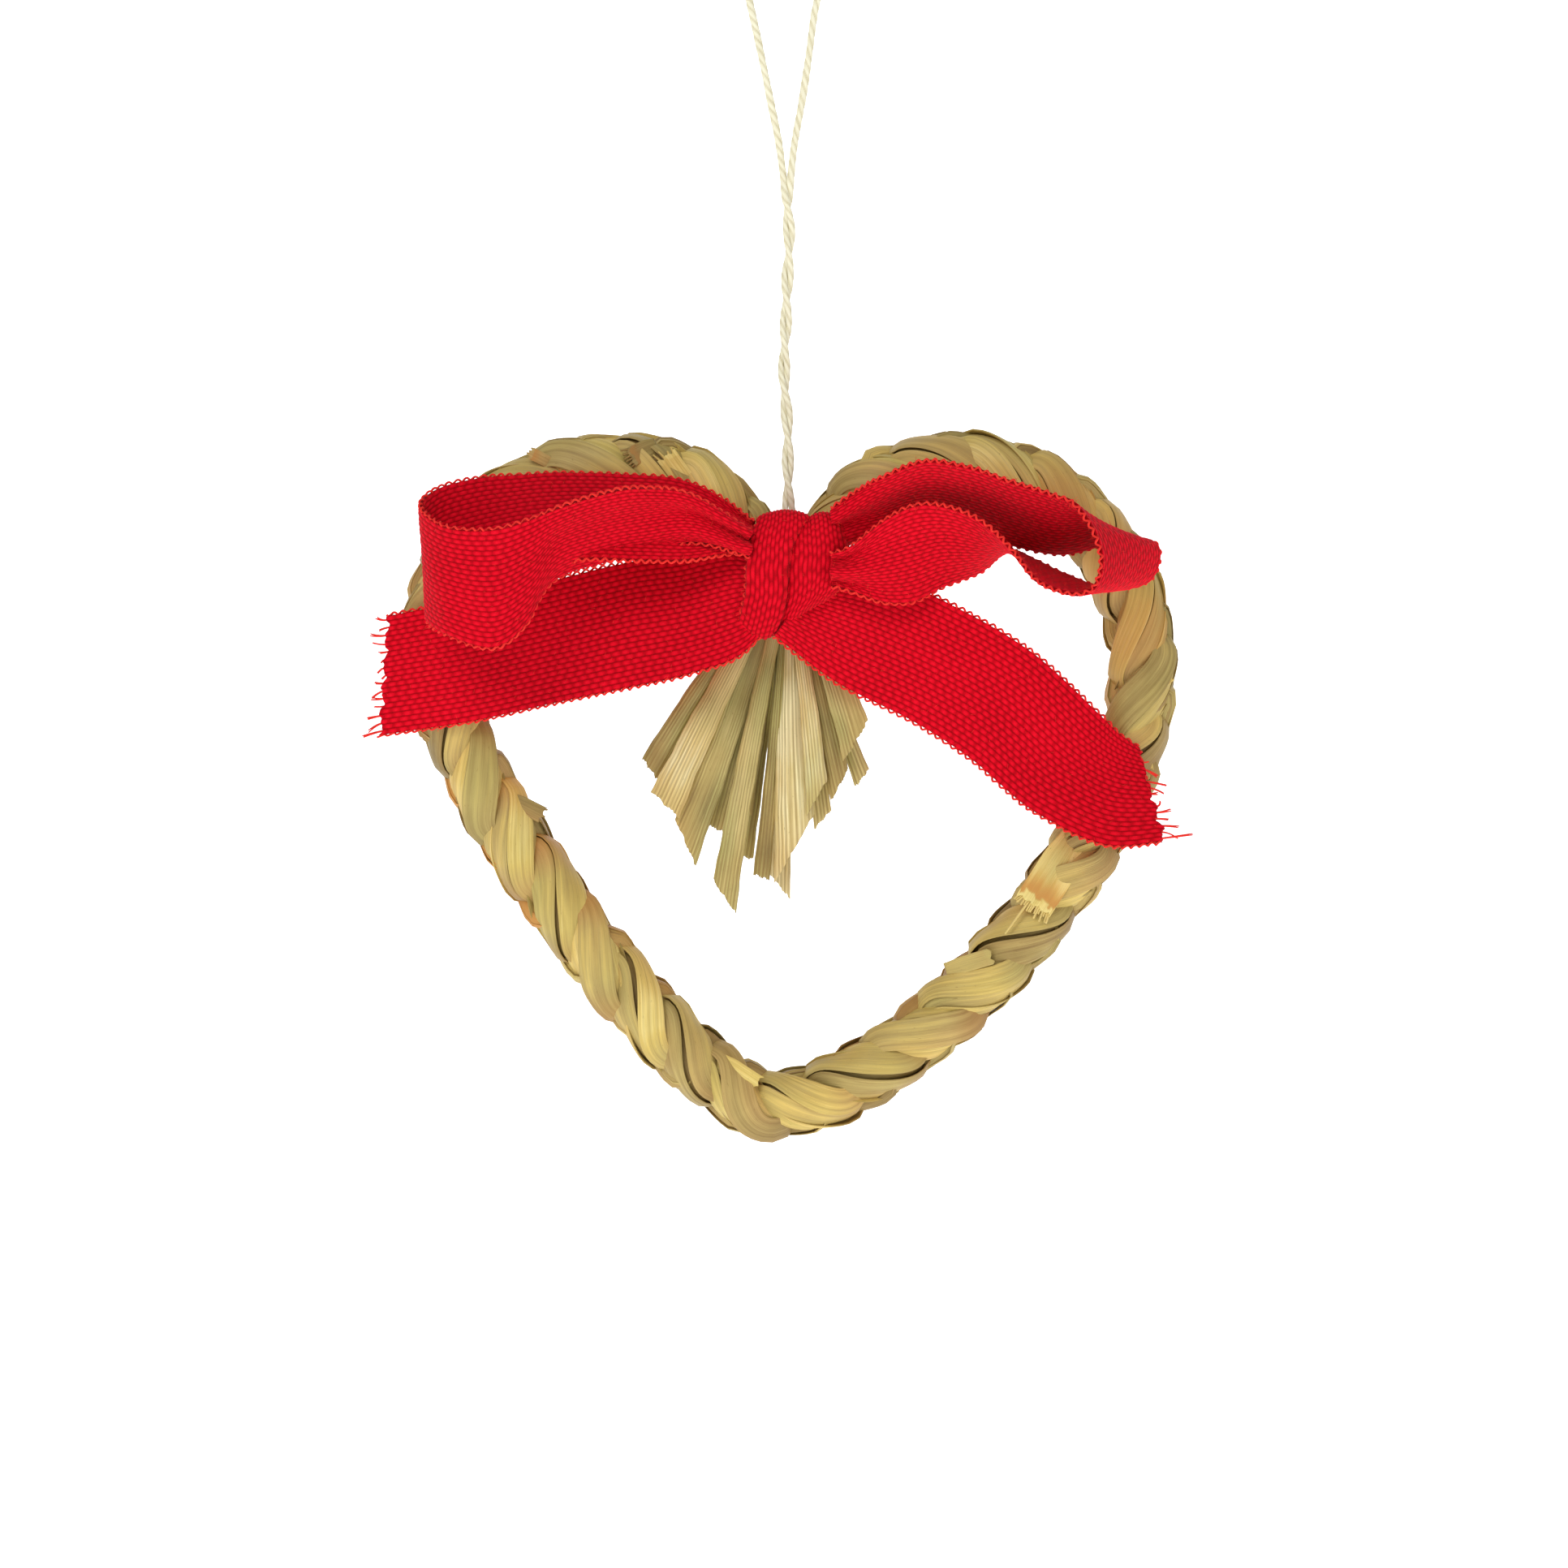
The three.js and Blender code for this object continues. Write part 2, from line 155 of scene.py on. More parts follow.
class Bench:
    """One material and the nodes laid out for it."""

    def __init__(self, name: str) -> None:
        """Starts an empty material."""
        self.material = bpy.data.materials.new(name)
        self.material.use_nodes = True
        self.tree = self.material.node_tree
        self.tree.nodes.clear()

    def node(self, kind: str, settings: dict | None = None,
             sockets: dict | None = None, output: int | str = 0) -> Link:
        """Adds a node.

        Args:
            kind: Blender's name for the node type.
            settings: the node's own settings; "stops" are a colour ramp's stops.
            sockets: a value or a Link for each input, by name or number.
            output: the output to hand back.

        Returns:
            The output as a Link.
        """
        made = self.tree.nodes.new(kind)
        for key, value in (settings or {}).items():
            if key == "stops":
                self._set_stops(made.color_ramp, value)
            else:
                setattr(made, key, value)
        for key, value in (sockets or {}).items():
            if isinstance(value, Link):
                self.tree.links.new(value.socket, made.inputs[key])
            else:
                made.inputs[key].default_value = value
        return Link(self, made.outputs[output])

    @staticmethod
    def _set_stops(ramp: bpy.types.ColorRamp, stops: list[tuple[float, Colour]]) -> None:
        """Puts the stops on a ramp in place of its own two."""
        while len(ramp.elements) < len(stops):
            ramp.elements.new(1.0)
        for element, (place, colour) in zip(ramp.elements, stops):
            element.position = place
            element.color = (*colour, 1.0)

    def value(self, name: str) -> Link:
        """A named value that the mesh carries at its points."""
        return self.node("ShaderNodeAttribute", {"attribute_name": name}, output="Fac")

    def ramp(self, amount: Link, stops: list[tuple[float, Colour]]) -> Link:
        """A colour picked from stops by an amount from 0 to 1."""
        return self.node("ShaderNodeValToRGB", {"stops": stops}, {"Fac": amount}, "Color")

    def mix(self, first: Link | Colour, second: Link | Colour, amount: Link | float,
            blend: str = "MIX") -> Link:
        """Two colours mixed.

        Args:
            first: the colour at amount 0.
            second: the colour at amount 1.
            amount: how much of the second.
            blend: Blender's name for the way they mix.

        Returns:
            The mixed colour.
        """
        first, second = (c if isinstance(c, Link) else (*c, 1.0) for c in (first, second))
        settings = {"data_type": "RGBA", "blend_type": blend}
        return self.node("ShaderNodeMix", settings, {0: amount, 6: first, 7: second}, 2)

    def streaks(self, across: float, along: float, detail: float = 3.0,
                seed: float = 0.0) -> Link:
        """Noise in the piece's own lay, stretched along it.

        Args:
            across: marks per millimetre across the piece.
            along: marks per millimetre along the piece.
            detail: how many finer layers are added.
            seed: picks another pattern.

        Returns:
            A value from 0 to 1.
        """
        lay = self.node("ShaderNodeUVMap", {"uv_map": Skin.LAY})
        placed = self.node("ShaderNodeMapping", None, {
            "Vector": lay, "Location": (seed, seed * 2, seed), "Scale": (across, along, 1.0)})
        return self.node("ShaderNodeTexNoise", None, {
            "Vector": placed, "Scale": 1.0, "Detail": detail, "Roughness": 0.6})

    def bump(self, height: Link, distance: float, strength: float = 1.0) -> Link:
        """A bumped normal from a height, with its depth in metres."""
        return self.node("ShaderNodeBump", None, {
            "Height": height, "Distance": distance, "Strength": strength})

    def finish(self, colour: Link, roughness: Link | float, normal: Link,
               constants: dict | None = None) -> bpy.types.Material:
        """Joins the parts into a principled shader.

        Args:
            colour: what feeds Base Color.
            roughness: what feeds Roughness.
            normal: what feeds Normal.
            constants: other sockets' fixed values.

        Returns:
            The finished material.
        """
        sockets = {"Base Color": colour, "Roughness": roughness, "Normal": normal}
        shader = self.node("ShaderNodeBsdfPrincipled", None, sockets | (constants or {}))
        self.node_output(shader)
        return self.material

    def node_output(self, shader: Link) -> None:
        """Joins a shader to the material's output."""
        output = self.tree.nodes.new("ShaderNodeOutputMaterial")
        self.tree.links.new(shader.socket, output.inputs["Surface"])


# ------------------------------------------------------------------ finishes


@dataclass(frozen=True)
class StrawFinish:
    """Dry straw, from olive brown to pale yellow, with fibres along it."""

    name: str
    dark: Colour = srgb(134, 110, 58)
    khaki: Colour = srgb(182, 160, 94)
    yellow: Colour = srgb(216, 192, 112)
    pale: Colour = srgb(232, 216, 154)
    # The groove brown: painted shade for rib valleys and blade edges, and the colour of the dark
    # specks.
    shade_and_fleck: Colour = srgb(112, 84, 40)
    stain: Colour = srgb(196, 132, 60)
    moss: Colour = srgb(158, 150, 82)
    tan: Colour = srgb(200, 152, 92)
    fibres_across: float = 9.0
    fibres_along: float = 0.16

    def material(self) -> bpy.types.Material:
        """Lays out the straw's nodes."""
        bench = Bench(self.name)
        tone, stain, clear_of_shade_and_stain = (bench.value(name) for name in ("tone", "stain", "clear_of_shade_and_stain"))
        fibre = bench.streaks(self.fibres_across, self.fibres_along)
        vein = bench.streaks(2.6, 0.05, 1.0, 7.0)
        blotch = bench.streaks(0.5, 0.22, 4.0, 3.0)
        mark = bench.streaks(3.0, 1.4, 2.0, 11.0)
        shade = (tone + (fibre - 0.5) * 0.42 + (vein - 0.5) * 0.5 + (blotch - 0.5) * 0.35).clamped()
        body = bench.ramp(shade, [
            (0.0, self.dark), (0.4, self.khaki), (0.78, self.yellow), (1.0, self.pale)])
        hue = bench.streaks(0.13, 0.04, 2.0, 13.0)
        mossy = bench.mix(body, self.moss, ((hue - 0.5) * 5.0).clamped() * 0.45)
        tinted = bench.mix(mossy, self.tan, ((0.5 - hue) * 5.0).clamped() * 0.4)
        # Painted shade: where the mesh's shade-and-stain value is low (rib valleys, blade edges, the
        # hidden core) the colour falls to the groove brown; at loose straw ends real stains lower it
        # too.
        with_painted_shade = bench.mix(self.shade_and_fleck, tinted, (clear_of_shade_and_stain * 0.8 + 0.2 + (fibre - 0.5) * 0.5).clamped())
        stained = bench.mix(with_painted_shade, self.stain, (stain * (blotch + 0.35)).clamped())
        specks = ((mark - 0.66) * 7.0).clamped() * 0.55
        colour = bench.mix(stained, self.shade_and_fleck, specks)
        roughness = (0.4 + fibre * 0.22 + specks * 0.2).clamped()
        height = fibre * 0.7 + vein * 0.5 + blotch * 0.3
        normal = bench.bump(height, 0.00012, 0.55)
        return bench.finish(colour, roughness, normal, {"Specular IOR Level": 0.3})


@dataclass(frozen=True)
class RibbonFinish:
    """Red woven ribbon: a painted highlight on the yarn tops, painted shade in the deep red between
    them, matt and a little fuzzy.
    """

    name: str
    # The deepest red is painted shade between the beads and the lightest a painted highlight on their
    # tops.
    deep: Colour = srgb(146, 0, 12)
    body: Colour = srgb(206, 1, 26)
    painted_highlight: Colour = srgb(232, 14, 40)

    def material(self) -> bpy.types.Material:
        """Lays out the ribbon's nodes."""
        bench = Bench(self.name)
        relief = bench.value("relief")
        yarn = bench.streaks(2.2, 7.0, 3.0)
        fuzz = bench.streaks(14.0, 14.0, 4.0, 5.0)
        wear = bench.streaks(0.18, 0.12, 3.0, 9.0)
        # Painted highlight and shade: the bead relief lifts the colour on bead tops and darkens the
        # gaps between them, and yarn and wear noise vary it at random.
        level = (relief ** 0.7 * 1.0 - 0.1 + (yarn - 0.5) * 0.35 + (wear - 0.5) * 0.3).clamped()
        body = bench.ramp(level, [(0.0, self.deep), (0.5, self.body), (1.0, self.painted_highlight)])
        # Painted sheen: fine fuzz flecks mixed toward the highlight red.
        colour = bench.mix(body, self.painted_highlight, ((fuzz - 0.62) * 3.0).clamped() * 0.35)
        roughness = (0.72 + yarn * 0.2).clamped()
        normal = bench.bump(yarn * 0.6 + fuzz * 0.5, 0.00009, 0.7)
        return bench.finish(colour, roughness, normal, {
            "Specular IOR Level": 0.07, "Sheen Weight": 0.03, "Sheen Roughness": 0.5})


@dataclass(frozen=True)
class YarnFinish:
    """Twisted yarn: its own light colour on the ply tops and painted shade in the groove between its
    plies.
    """

    name: str
    light: Colour
    # The darker colour is painted shade between the plies, also used for darker fibres at random.
    shade_and_fleck: Colour
    strands_per_mm: float = 7.0

    def material(self) -> bpy.types.Material:
        """Lays out the yarn's nodes."""
        bench = Bench(self.name)
        relief = bench.value("relief")
        strand = bench.streaks(self.strands_per_mm, 0.5, 3.0)
        blotch = bench.streaks(0.3, 0.25, 2.0, 4.0)
        # Painted shade: the ply relief darkens the grooves; the strand and blotch noise vary it at
        # random.
        level = (relief * 0.9 + (strand - 0.5) * 0.9 + (blotch - 0.5) * 0.4 + 0.1).clamped()
        colour = bench.mix(self.shade_and_fleck, self.light, level)
        roughness = (0.7 + strand * 0.2).clamped()
        normal = bench.bump(strand, 0.0001, 0.7)
        return bench.finish(colour, roughness, normal, {
            "Specular IOR Level": 0.25, "Sheen Weight": 0.1})


@dataclass(frozen=True)
class PaperFinish:
    """The studio's white paper, lit so that it stays white."""

    name: str
    paper: Colour = (0.93, 0.93, 0.93)
    glow: float = 0.8

    def material(self) -> bpy.types.Material:
        """Lays out the paper's nodes."""
        bench = Bench(self.name)
        position = bench.node("ShaderNodeNewGeometry", output="Position")
        grain = bench.node("ShaderNodeTexNoise", None, {
            "Vector": position, "Scale": 400.0, "Detail": 2.0})
        colour = bench.mix(self.paper, (0.9, 0.9, 0.9), grain)
        normal = bench.bump(grain, 0.0001, 0.2)
        return bench.finish(colour, 0.9, normal, {
            "Emission Color": (1.0, 1.0, 1.0, 1.0), "Emission Strength": self.glow})


# ------------------------------------------------------------------ lines and skins


def waver(seed: int, at: np.ndarray, length: float) -> np.ndarray:
    """A smooth wandering value.

    Args:
        seed: picks the pattern.
        at: places along it.
        length: the length of its longest wave.

    Returns:
        Values from about -1 to 1.
    """
    rng = np.random.default_rng(seed)
    total = np.zeros(np.shape(at))
    for octave in (1.0, 1.9, 3.7):
        total = total + np.sin(TURN * np.asarray(at) * octave / length + rng.uniform(0, TURN)) / octave
    return total / 1.5


def smoothstep(value: np.ndarray, low: float, high: float) -> np.ndarray:
    """0 below low, 1 above high, and smooth between."""
    share = np.clip((np.asarray(value) - low) / (high - low), 0, 1)
    return share * share * (3 - 2 * share)


def unit(vectors: np.ndarray) -> np.ndarray:
    """The vectors at length 1."""
    return vectors / np.maximum(np.linalg.norm(vectors, axis=-1, keepdims=True), 1e-9)


class Line:
    """Columns of numbers along a line, read by distance. The first three are the place."""

    def __init__(self, rows: np.ndarray) -> None:
        """Keeps close rows and the distance to each."""
        self.rows = rows
        steps = np.linalg.norm(np.diff(rows[:, :3], axis=0), axis=1)
        self.distances = np.concatenate([[0.0], np.cumsum(steps)])
        self.length = float(self.distances[-1])

    def at(self, distance: np.ndarray) -> np.ndarray:
        """The rows at distances of any shape."""
        columns = [np.interp(distance, self.distances, column) for column in self.rows.T]
        return np.stack(columns, axis=-1)

    @classmethod
    def through(cls, rows: np.ndarray, steps: int = 24) -> "Line":
        """A smooth line through rows whose spacing may be uneven.

        Args:
            rows: the rows it passes through.
            steps: points between two rows.

        Returns:
            The line.
        """
        rows = np.asarray(rows, float)
        gaps = np.sqrt(np.linalg.norm(np.diff(rows[:, :3], axis=0), axis=1))
        slopes = np.diff(rows, axis=0) / gaps[:, None]
        inner = (slopes[:-1] * gaps[1:, None] + slopes[1:] * gaps[:-1, None])
        inner = inner / (gaps[1:] + gaps[:-1])[:, None]
        tangents = np.concatenate([slopes[:1], inner, slopes[-1:]])
        pieces = []
        for i, gap in enumerate(gaps):
            s = np.linspace(0, 1, steps, endpoint=False)[:, None]
            pieces.append(
                (2 * s**3 - 3 * s**2 + 1) * rows[i] + (s**3 - 2 * s**2 + s) * gap * tangents[i]
                + (3 * s**2 - 2 * s**3) * rows[i + 1] + (s**3 - s**2) * gap * tangents[i + 1])
        return cls(np.concatenate([*pieces, rows[-1:]]))


def carried_sections(points: np.ndarray, first: np.ndarray) -> tuple[np.ndarray, np.ndarray]:
    """Two cross directions carried along a line with no twist of their own.

    Args:
        points: the line.
        first: a direction to start from.

    Returns:
        The two directions at each point.
    """
    along = unit(np.gradient(points, axis=0))
    cross = np.empty_like(points)
    current = first
    for i, tangent in enumerate(along):
        current = current - tangent * float(current @ tangent)
        current = current / np.linalg.norm(current)
        cross[i] = current
    return cross, np.cross(along, cross)


@dataclass
class Skin:
    """Closed tubes gathered for one piece, with the values that its finish reads."""

    LAY = "lay"

    name: str
    names: tuple[str, ...]
    origin: np.ndarray = field(default_factory=lambda: NECK)
    count: int = 0
    points: list[np.ndarray] = field(default_factory=list)
    faces: list[np.ndarray] = field(default_factory=list)
    lay: list[np.ndarray] = field(default_factory=list)
    values: dict[str, list[np.ndarray]] = field(default_factory=dict)

    def tube(self, rings: np.ndarray, lay: np.ndarray, values: dict[str, np.ndarray | float],
             looped: bool = False) -> None:
        """Adds a tube.

        Args:
            rings: places, as rings along by points around by 3.
            lay: place across and along the piece at each point, in millimetres.
            values: the finish's values at each point, or one number for all.
            looped: whether the last ring joins the first.
        """
        rows, around = rings.shape[:2]
        index = self.count + np.arange(rows * around).reshape(rows, around)
        if looped:
            index = np.concatenate([index, index[:1]])
        here, there = index[:-1], index[1:]
        sides = np.stack([here, np.roll(here, -1, 1), np.roll(there, -1, 1), there], axis=-1)
        self.faces.append(sides.reshape(-1, 4))
        if not looped:
            for ring in (index[0][::-1], index[-1]):
                half = around // 2
                low, high = np.arange(half - 1), np.arange(1, half)
                self.faces.append(np.stack([
                    ring[low], ring[high], ring[around - 1 - high], ring[around - 1 - low]], axis=-1))
        self.points.append(rings.reshape(-1, 3))
        self.lay.append(np.broadcast_to(lay, (rows, around, 2)).reshape(-1, 2))
        for name in self.names:
            value = np.broadcast_to(values.get(name, 0.0), (rows, around)).reshape(-1)
            self.values.setdefault(name, []).append(value)
        self.count += rows * around

    def rod(self, points: np.ndarray, radius: np.ndarray | float, sides: int,
            values: dict[str, np.ndarray | float]) -> None:
        """Adds a round rod along a line.

        Args:
            points: the rod's middle line.
            radius: one radius, or one for each point.
            sides: points around.
            values: the finish's values.
        """
        along = points[1] - points[0]
        first = np.cross(along, (0.31, 0.87, 0.4))
        cross, other = carried_sections(points, first / np.linalg.norm(first))
        turn = TURN * np.arange(sides) / sides
        reach = np.broadcast_to(radius, (len(points),))[:, None, None]
        spread = cross[:, None] * np.cos(turn)[:, None] + other[:, None] * np.sin(turn)[:, None]
        distance = np.linalg.norm(np.diff(points, axis=0, prepend=points[:1]), axis=1).cumsum()
        lay = np.stack(np.broadcast_arrays(turn * 0.3, distance[:, None]), axis=-1)
        self.tube(points[:, None] + reach * spread, lay, values)

    def make(self, material: bpy.types.Material, body: Body | None) -> bpy.types.Object:
        """Turns what is gathered into a Blender object.

        Args:
            material: the piece's finish.
            body: the body it rides on, or None to leave it unattached.

        Returns:
            The object.
        """
        points = np.concatenate(self.points) * MM + self.origin
        faces = np.concatenate(self.faces).astype(np.int32)
        mesh = bpy.data.meshes.new(self.name)
        mesh.vertices.add(len(points))
        mesh.vertices.foreach_set("co", points.astype(np.float32).ravel())
        mesh.loops.add(faces.size)
        mesh.loops.foreach_set("vertex_index", faces.ravel())
        mesh.polygons.add(len(faces))
        mesh.polygons.foreach_set("loop_start", np.arange(0, faces.size, 4, dtype=np.int32))
        mesh.update(calc_edges=True)
        mesh.shade_smooth()
        lay = np.concatenate(self.lay).astype(np.float32)
        layer = mesh.uv_layers.new(name=self.LAY)
        layer.data.foreach_set("uv", lay[faces.ravel()].ravel())
        for name, parts in self.values.items():
            attribute = mesh.attributes.new(name, "FLOAT", "POINT")
            attribute.data.foreach_set("value", np.concatenate(parts).astype(np.float32))
        mesh.materials.append(material)
        piece = bpy.data.objects.new(self.name, mesh)
        bpy.context.scene.collection.objects.link(piece)
        if body is not None:
            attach(piece, body.value)
        log.info("%s: %d faces", self.name, len(faces))
        return piece


def as_path(points: np.ndarray, origin: np.ndarray) -> list[list[float]]:
    """Millimetre points as a plain list in metres in the frame."""
    return (points * MM + origin).tolist()


# ------------------------------------------------------------------ twine


@dataclass
class TwineHanger:
    """One length of twine: down from the hook twice, twisted into a stem, tied at the neck."""

    thickness: float = 0.98
    stem_thickness: float = 0.86
    ply_pitch: float = 4.6
    ply_depth: float = 0.2
    step: float = 0.25
    sides: int = 24
    stem_top: float = -38.0
    stem_foot: float = -85.7
    stem_turns: float = 4.0
    stem_x: float = 0.4
    hang_y: float = -2.6
    stem_radius: float = 0.4
    loop_foot: float = -40.6
    stem_start: float = -40.0
    flare_height: float = 7.0
    flare_reach: float = 0.45
    tie_turns: float = 1.9

    def stem_point(self, height: np.ndarray, half: int) -> np.ndarray:
        """Middle of one strand of the twisted stem.

        Args:
            height: heights in the frame, in millimetres.
            half: 0 for the left strand and 1 for the right.

        Returns:
            Places in the frame, in millimetres.
        """
        share = (self.stem_top - height) / (self.stem_top - self.stem_foot)
        turn = math.pi * (2 * self.stem_turns * share + 1 - half)
        flare = smoothstep(self.stem_foot + self.flare_height - height, 0, self.flare_height)
        radius = self.stem_radius + self.flare_reach * flare
        sway = 0.35 * waver(3, height, 46.0) * smoothstep(self.stem_top - height, 0, 8)
        x = self.stem_x + sway + radius * np.cos(turn)
        return np.stack([x, self.hang_y + radius * np.sin(turn), height], axis=-1)

    def loop_line(self) -> Line:
        """The line over the hook, from the left strand's top round to the right one's."""
        foot = np.linspace(self.loop_foot, self.stem_top, 4)
        back = self.hang_y
        route = [
            [-0.7, back, -32.5], [-1.7, back, -27.5], [-2.9, -2.4, -21.5], [-4.3, -2.0, -15],
            [-5.6, -1.4, -9.5], [-6.4, -0.6, -5], [-5.4, -0.1, -1.6], [-2.8, 0, 0], [0, 0, 0.4],
            [2.8, 0, 0], [5.4, -0.1, -1.6], [6.3, -0.6, -5], [5.5, -1.4, -9.5], [4.1, -2.0, -15],
            [3.2, -2.4, -21.5], [2.3, back, -27.5], [1.4, back, -32.5],
        ]
        rows = [self.stem_point(foot, 0), np.array(route), self.stem_point(foot[::-1], 1)]
        return Line.through(np.concatenate(rows))

    def stem_line(self, half: int) -> Line:
        """The line of one strand of the stem."""
        heights = np.arange(self.stem_start, self.stem_foot - 0.01, -0.25)
        return Line(self.stem_point(heights, half))

    def plied(self, skin: Skin, line: Line, thickness: float, seed: int) -> None:
        """Adds a twisted twine of three plies.

        Args:
            skin: the piece it is added to.
            line: its middle line.
            thickness: its thickness.
            seed: picks its unevenness.
        """
        distance = np.linspace(0, line.length, max(3, round(line.length / self.step)))
        points = line.at(distance)[:, :3]
        cross, other = carried_sections(points, np.array([0.2, 1.0, 0.1]))
        turn = TURN * np.arange(self.sides) / self.sides
        twist = TURN * distance / self.ply_pitch + 0.5 * waver(seed, distance, 19.0)
        ridge = np.abs(np.cos(1.5 * (turn + twist[:, None]))) ** 0.7
        uneven = 1 + 0.07 * waver(seed + 1, distance, 13.0)[:, None]
        radius = thickness / 2 * uneven * (1 - self.ply_depth + self.ply_depth * ridge)
        spread = cross[:, None] * np.cos(turn)[:, None] + other[:, None] * np.sin(turn)[:, None]
        around = (turn + twist[:, None]) * thickness / 2
        lay = np.stack(np.broadcast_arrays(around, distance[:, None]), axis=-1)
        # The relief sets the painted shade in the ply grooves.
        skin.tube(points[:, None] + radius[..., None] * spread, lay, {"relief": ridge})
        self.fuzz(skin, points, thickness, seed)

    def fuzz(self, skin: Skin, points: np.ndarray, thickness: float, seed: int) -> None:
        """Adds short loose fibres along a twine."""
        rng = np.random.default_rng(seed)
        for place in points[:: 8]:
            way = unit(rng.normal(size=3))
            bend = unit(rng.normal(size=3)) * 0.12
            start = place + way * thickness * 0.4
            reach = rng.uniform(0.25, 0.6)
            fibre = [start, start + way * reach * 0.5 + bend * 0.3, start + way * reach + bend]
            skin.rod(np.array(fibre), 0.022, 3, {"relief": 1.0})

    def loop(self, yarn: bpy.types.Material) -> None:
        """The loop over the hook, which bends into the top of the stem."""
        line = self.loop_line()
        skin = Skin("hanging_twine_loop", ("relief",), HOOK)
        self.plied(skin, line, self.thickness, 21)
        piece = skin.make(yarn, None)
        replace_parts(piece, "twine_loop")
        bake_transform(piece)
        path = as_path(line.at(np.linspace(0, line.length, 80))[:, :3], HOOK)

    def stem(self, yarn: bpy.types.Material) -> None:
        """The two strands of the stem, each one piece from top to foot."""
        for half, side in enumerate(("left", "right")):
            line = self.stem_line(half)
            skin = Skin(f"hanging_twine_stem_{side}", ("relief",), HOOK)
            self.plied(skin, line, self.stem_thickness, 31 + half)
            piece = skin.make(yarn, None)
            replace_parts(piece, f"twine_stem_upper_{side}", f"twine_stem_lower_{side}")
            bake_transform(piece)
            path = as_path(line.at(np.linspace(0, line.length, 90))[:, :3], HOOK)

    def tie(self, yarn: bpy.types.Material) -> None:
        """The twine's own turns round the neck, above the binding thread."""
        low, high = (np.array(corner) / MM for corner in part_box("twine_tie"))
        neck = NECK / MM
        half = (high - low)[:2] / 2 - self.thickness / 2
        turn = np.linspace(0, TURN * self.tie_turns, 150)
        rise = np.linspace(low[2], high[2], 150) - neck[2]
        points = np.stack([half[0] * np.cos(turn), half[1] * np.sin(turn), rise], axis=-1)
        skin = Skin("twine_tie_turns", ("relief",))
        self.plied(skin, Line(points), self.thickness * 0.8, 41)
        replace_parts(skin.make(yarn, Body.HEART), "twine_tie")

    def build(self, yarn: bpy.types.Material) -> None:
        """Makes the whole hanger."""
        self.loop(yarn)
        self.stem(yarn)
        self.tie(yarn)


# ------------------------------------------------------------------ plait


@dataclass
class HeartLine:
    """The plait's middle line, measured from the binding."""

    half_width: float = 46.0
    lobe_rise: float = 13.7
    lobe_out: float = 22.3
    widest_drop: tuple[float, float] = (9.5, 13.0)
    tip_drop: float = 69.4
    tip_out: float = -2.5
    neck_half_spread: float = 2.6
    butt_drop: float = 4.0
    neck_straight: float = 5.0
    neck_handle: float = 5.0
    lobe_handle: float = 11.0
    round_handle: float = 0.552
    side_handle: tuple[float, float] = (18.0, 24.0)
    tip_handle: tuple[float, float] = (9.0, 16.0)
    samples: int = 160

    def lobe(self, side: Side) -> np.ndarray:
        """One lobe from the neck to the tip, as close points in the heart's plane."""
        pick = 0 if side is Side.LEFT else 1
        neck_x, lobe_x = side * self.neck_half_spread, side * self.lobe_out
        wide_x, wide_z = side * self.half_width, -self.widest_drop[pick]
        neck_z = self.neck_straight - self.butt_drop
        outer_x = lobe_x + self.round_handle * (wide_x - lobe_x)
        upper_z = wide_z + self.round_handle * (self.lobe_rise - wide_z)
        tip_x = self.tip_out + side * self.tip_handle[pick]
        curves = [
            [(neck_x, -self.butt_drop), (neck_x, -self.butt_drop / 2),
             (neck_x, neck_z / 2), (neck_x, neck_z)],
            [(neck_x, neck_z), (neck_x, neck_z + self.neck_handle),
             (lobe_x - side * self.lobe_handle, self.lobe_rise), (lobe_x, self.lobe_rise)],
            [(lobe_x, self.lobe_rise), (outer_x, self.lobe_rise),
             (wide_x, upper_z), (wide_x, wide_z)],
            [(wide_x, wide_z), (wide_x, wide_z - self.side_handle[pick]),
             (tip_x, -self.tip_drop), (self.tip_out, -self.tip_drop)],
        ]
        share = np.linspace(0, 1, self.samples, endpoint=False)[:, None]
        weights = np.concatenate([
            (1 - share) ** 3, 3 * share * (1 - share) ** 2, 3 * share**2 * (1 - share), share**3], 1)
        flat = np.concatenate([weights @ np.array(curve) for curve in curves])
        flat = np.concatenate([flat, [[self.tip_out, -self.tip_drop]]])
        return np.stack([flat[:, 0], np.zeros(len(flat)), flat[:, 1]], axis=-1)

    def line(self) -> Line:
        """Down the left lobe to the tip, then back up the right one."""
        back = self.lobe(Side.RIGHT)[::-1]
        return Line(np.concatenate([self.lobe(Side.LEFT), back[1:]]))


@dataclass(frozen=True)
class Blade:
    """One straw's place around its strand: angles in degrees, the rest in millimetres."""

    angle: float
    span: float
    raised: float
    tone: float = 0.0
    slack: float = 0.0


@dataclass(frozen=True)
class LooseEnd:
    """A straw end that shows on the plait's front, from start to end as (x, z) from the neck."""

    start: tuple[float, float]
    end: tuple[float, float]
    width: float
    tone: float
    stain: float = 0.0
    tines: int = 0
    lift: float = 0.4
    splinter: float = 0.0


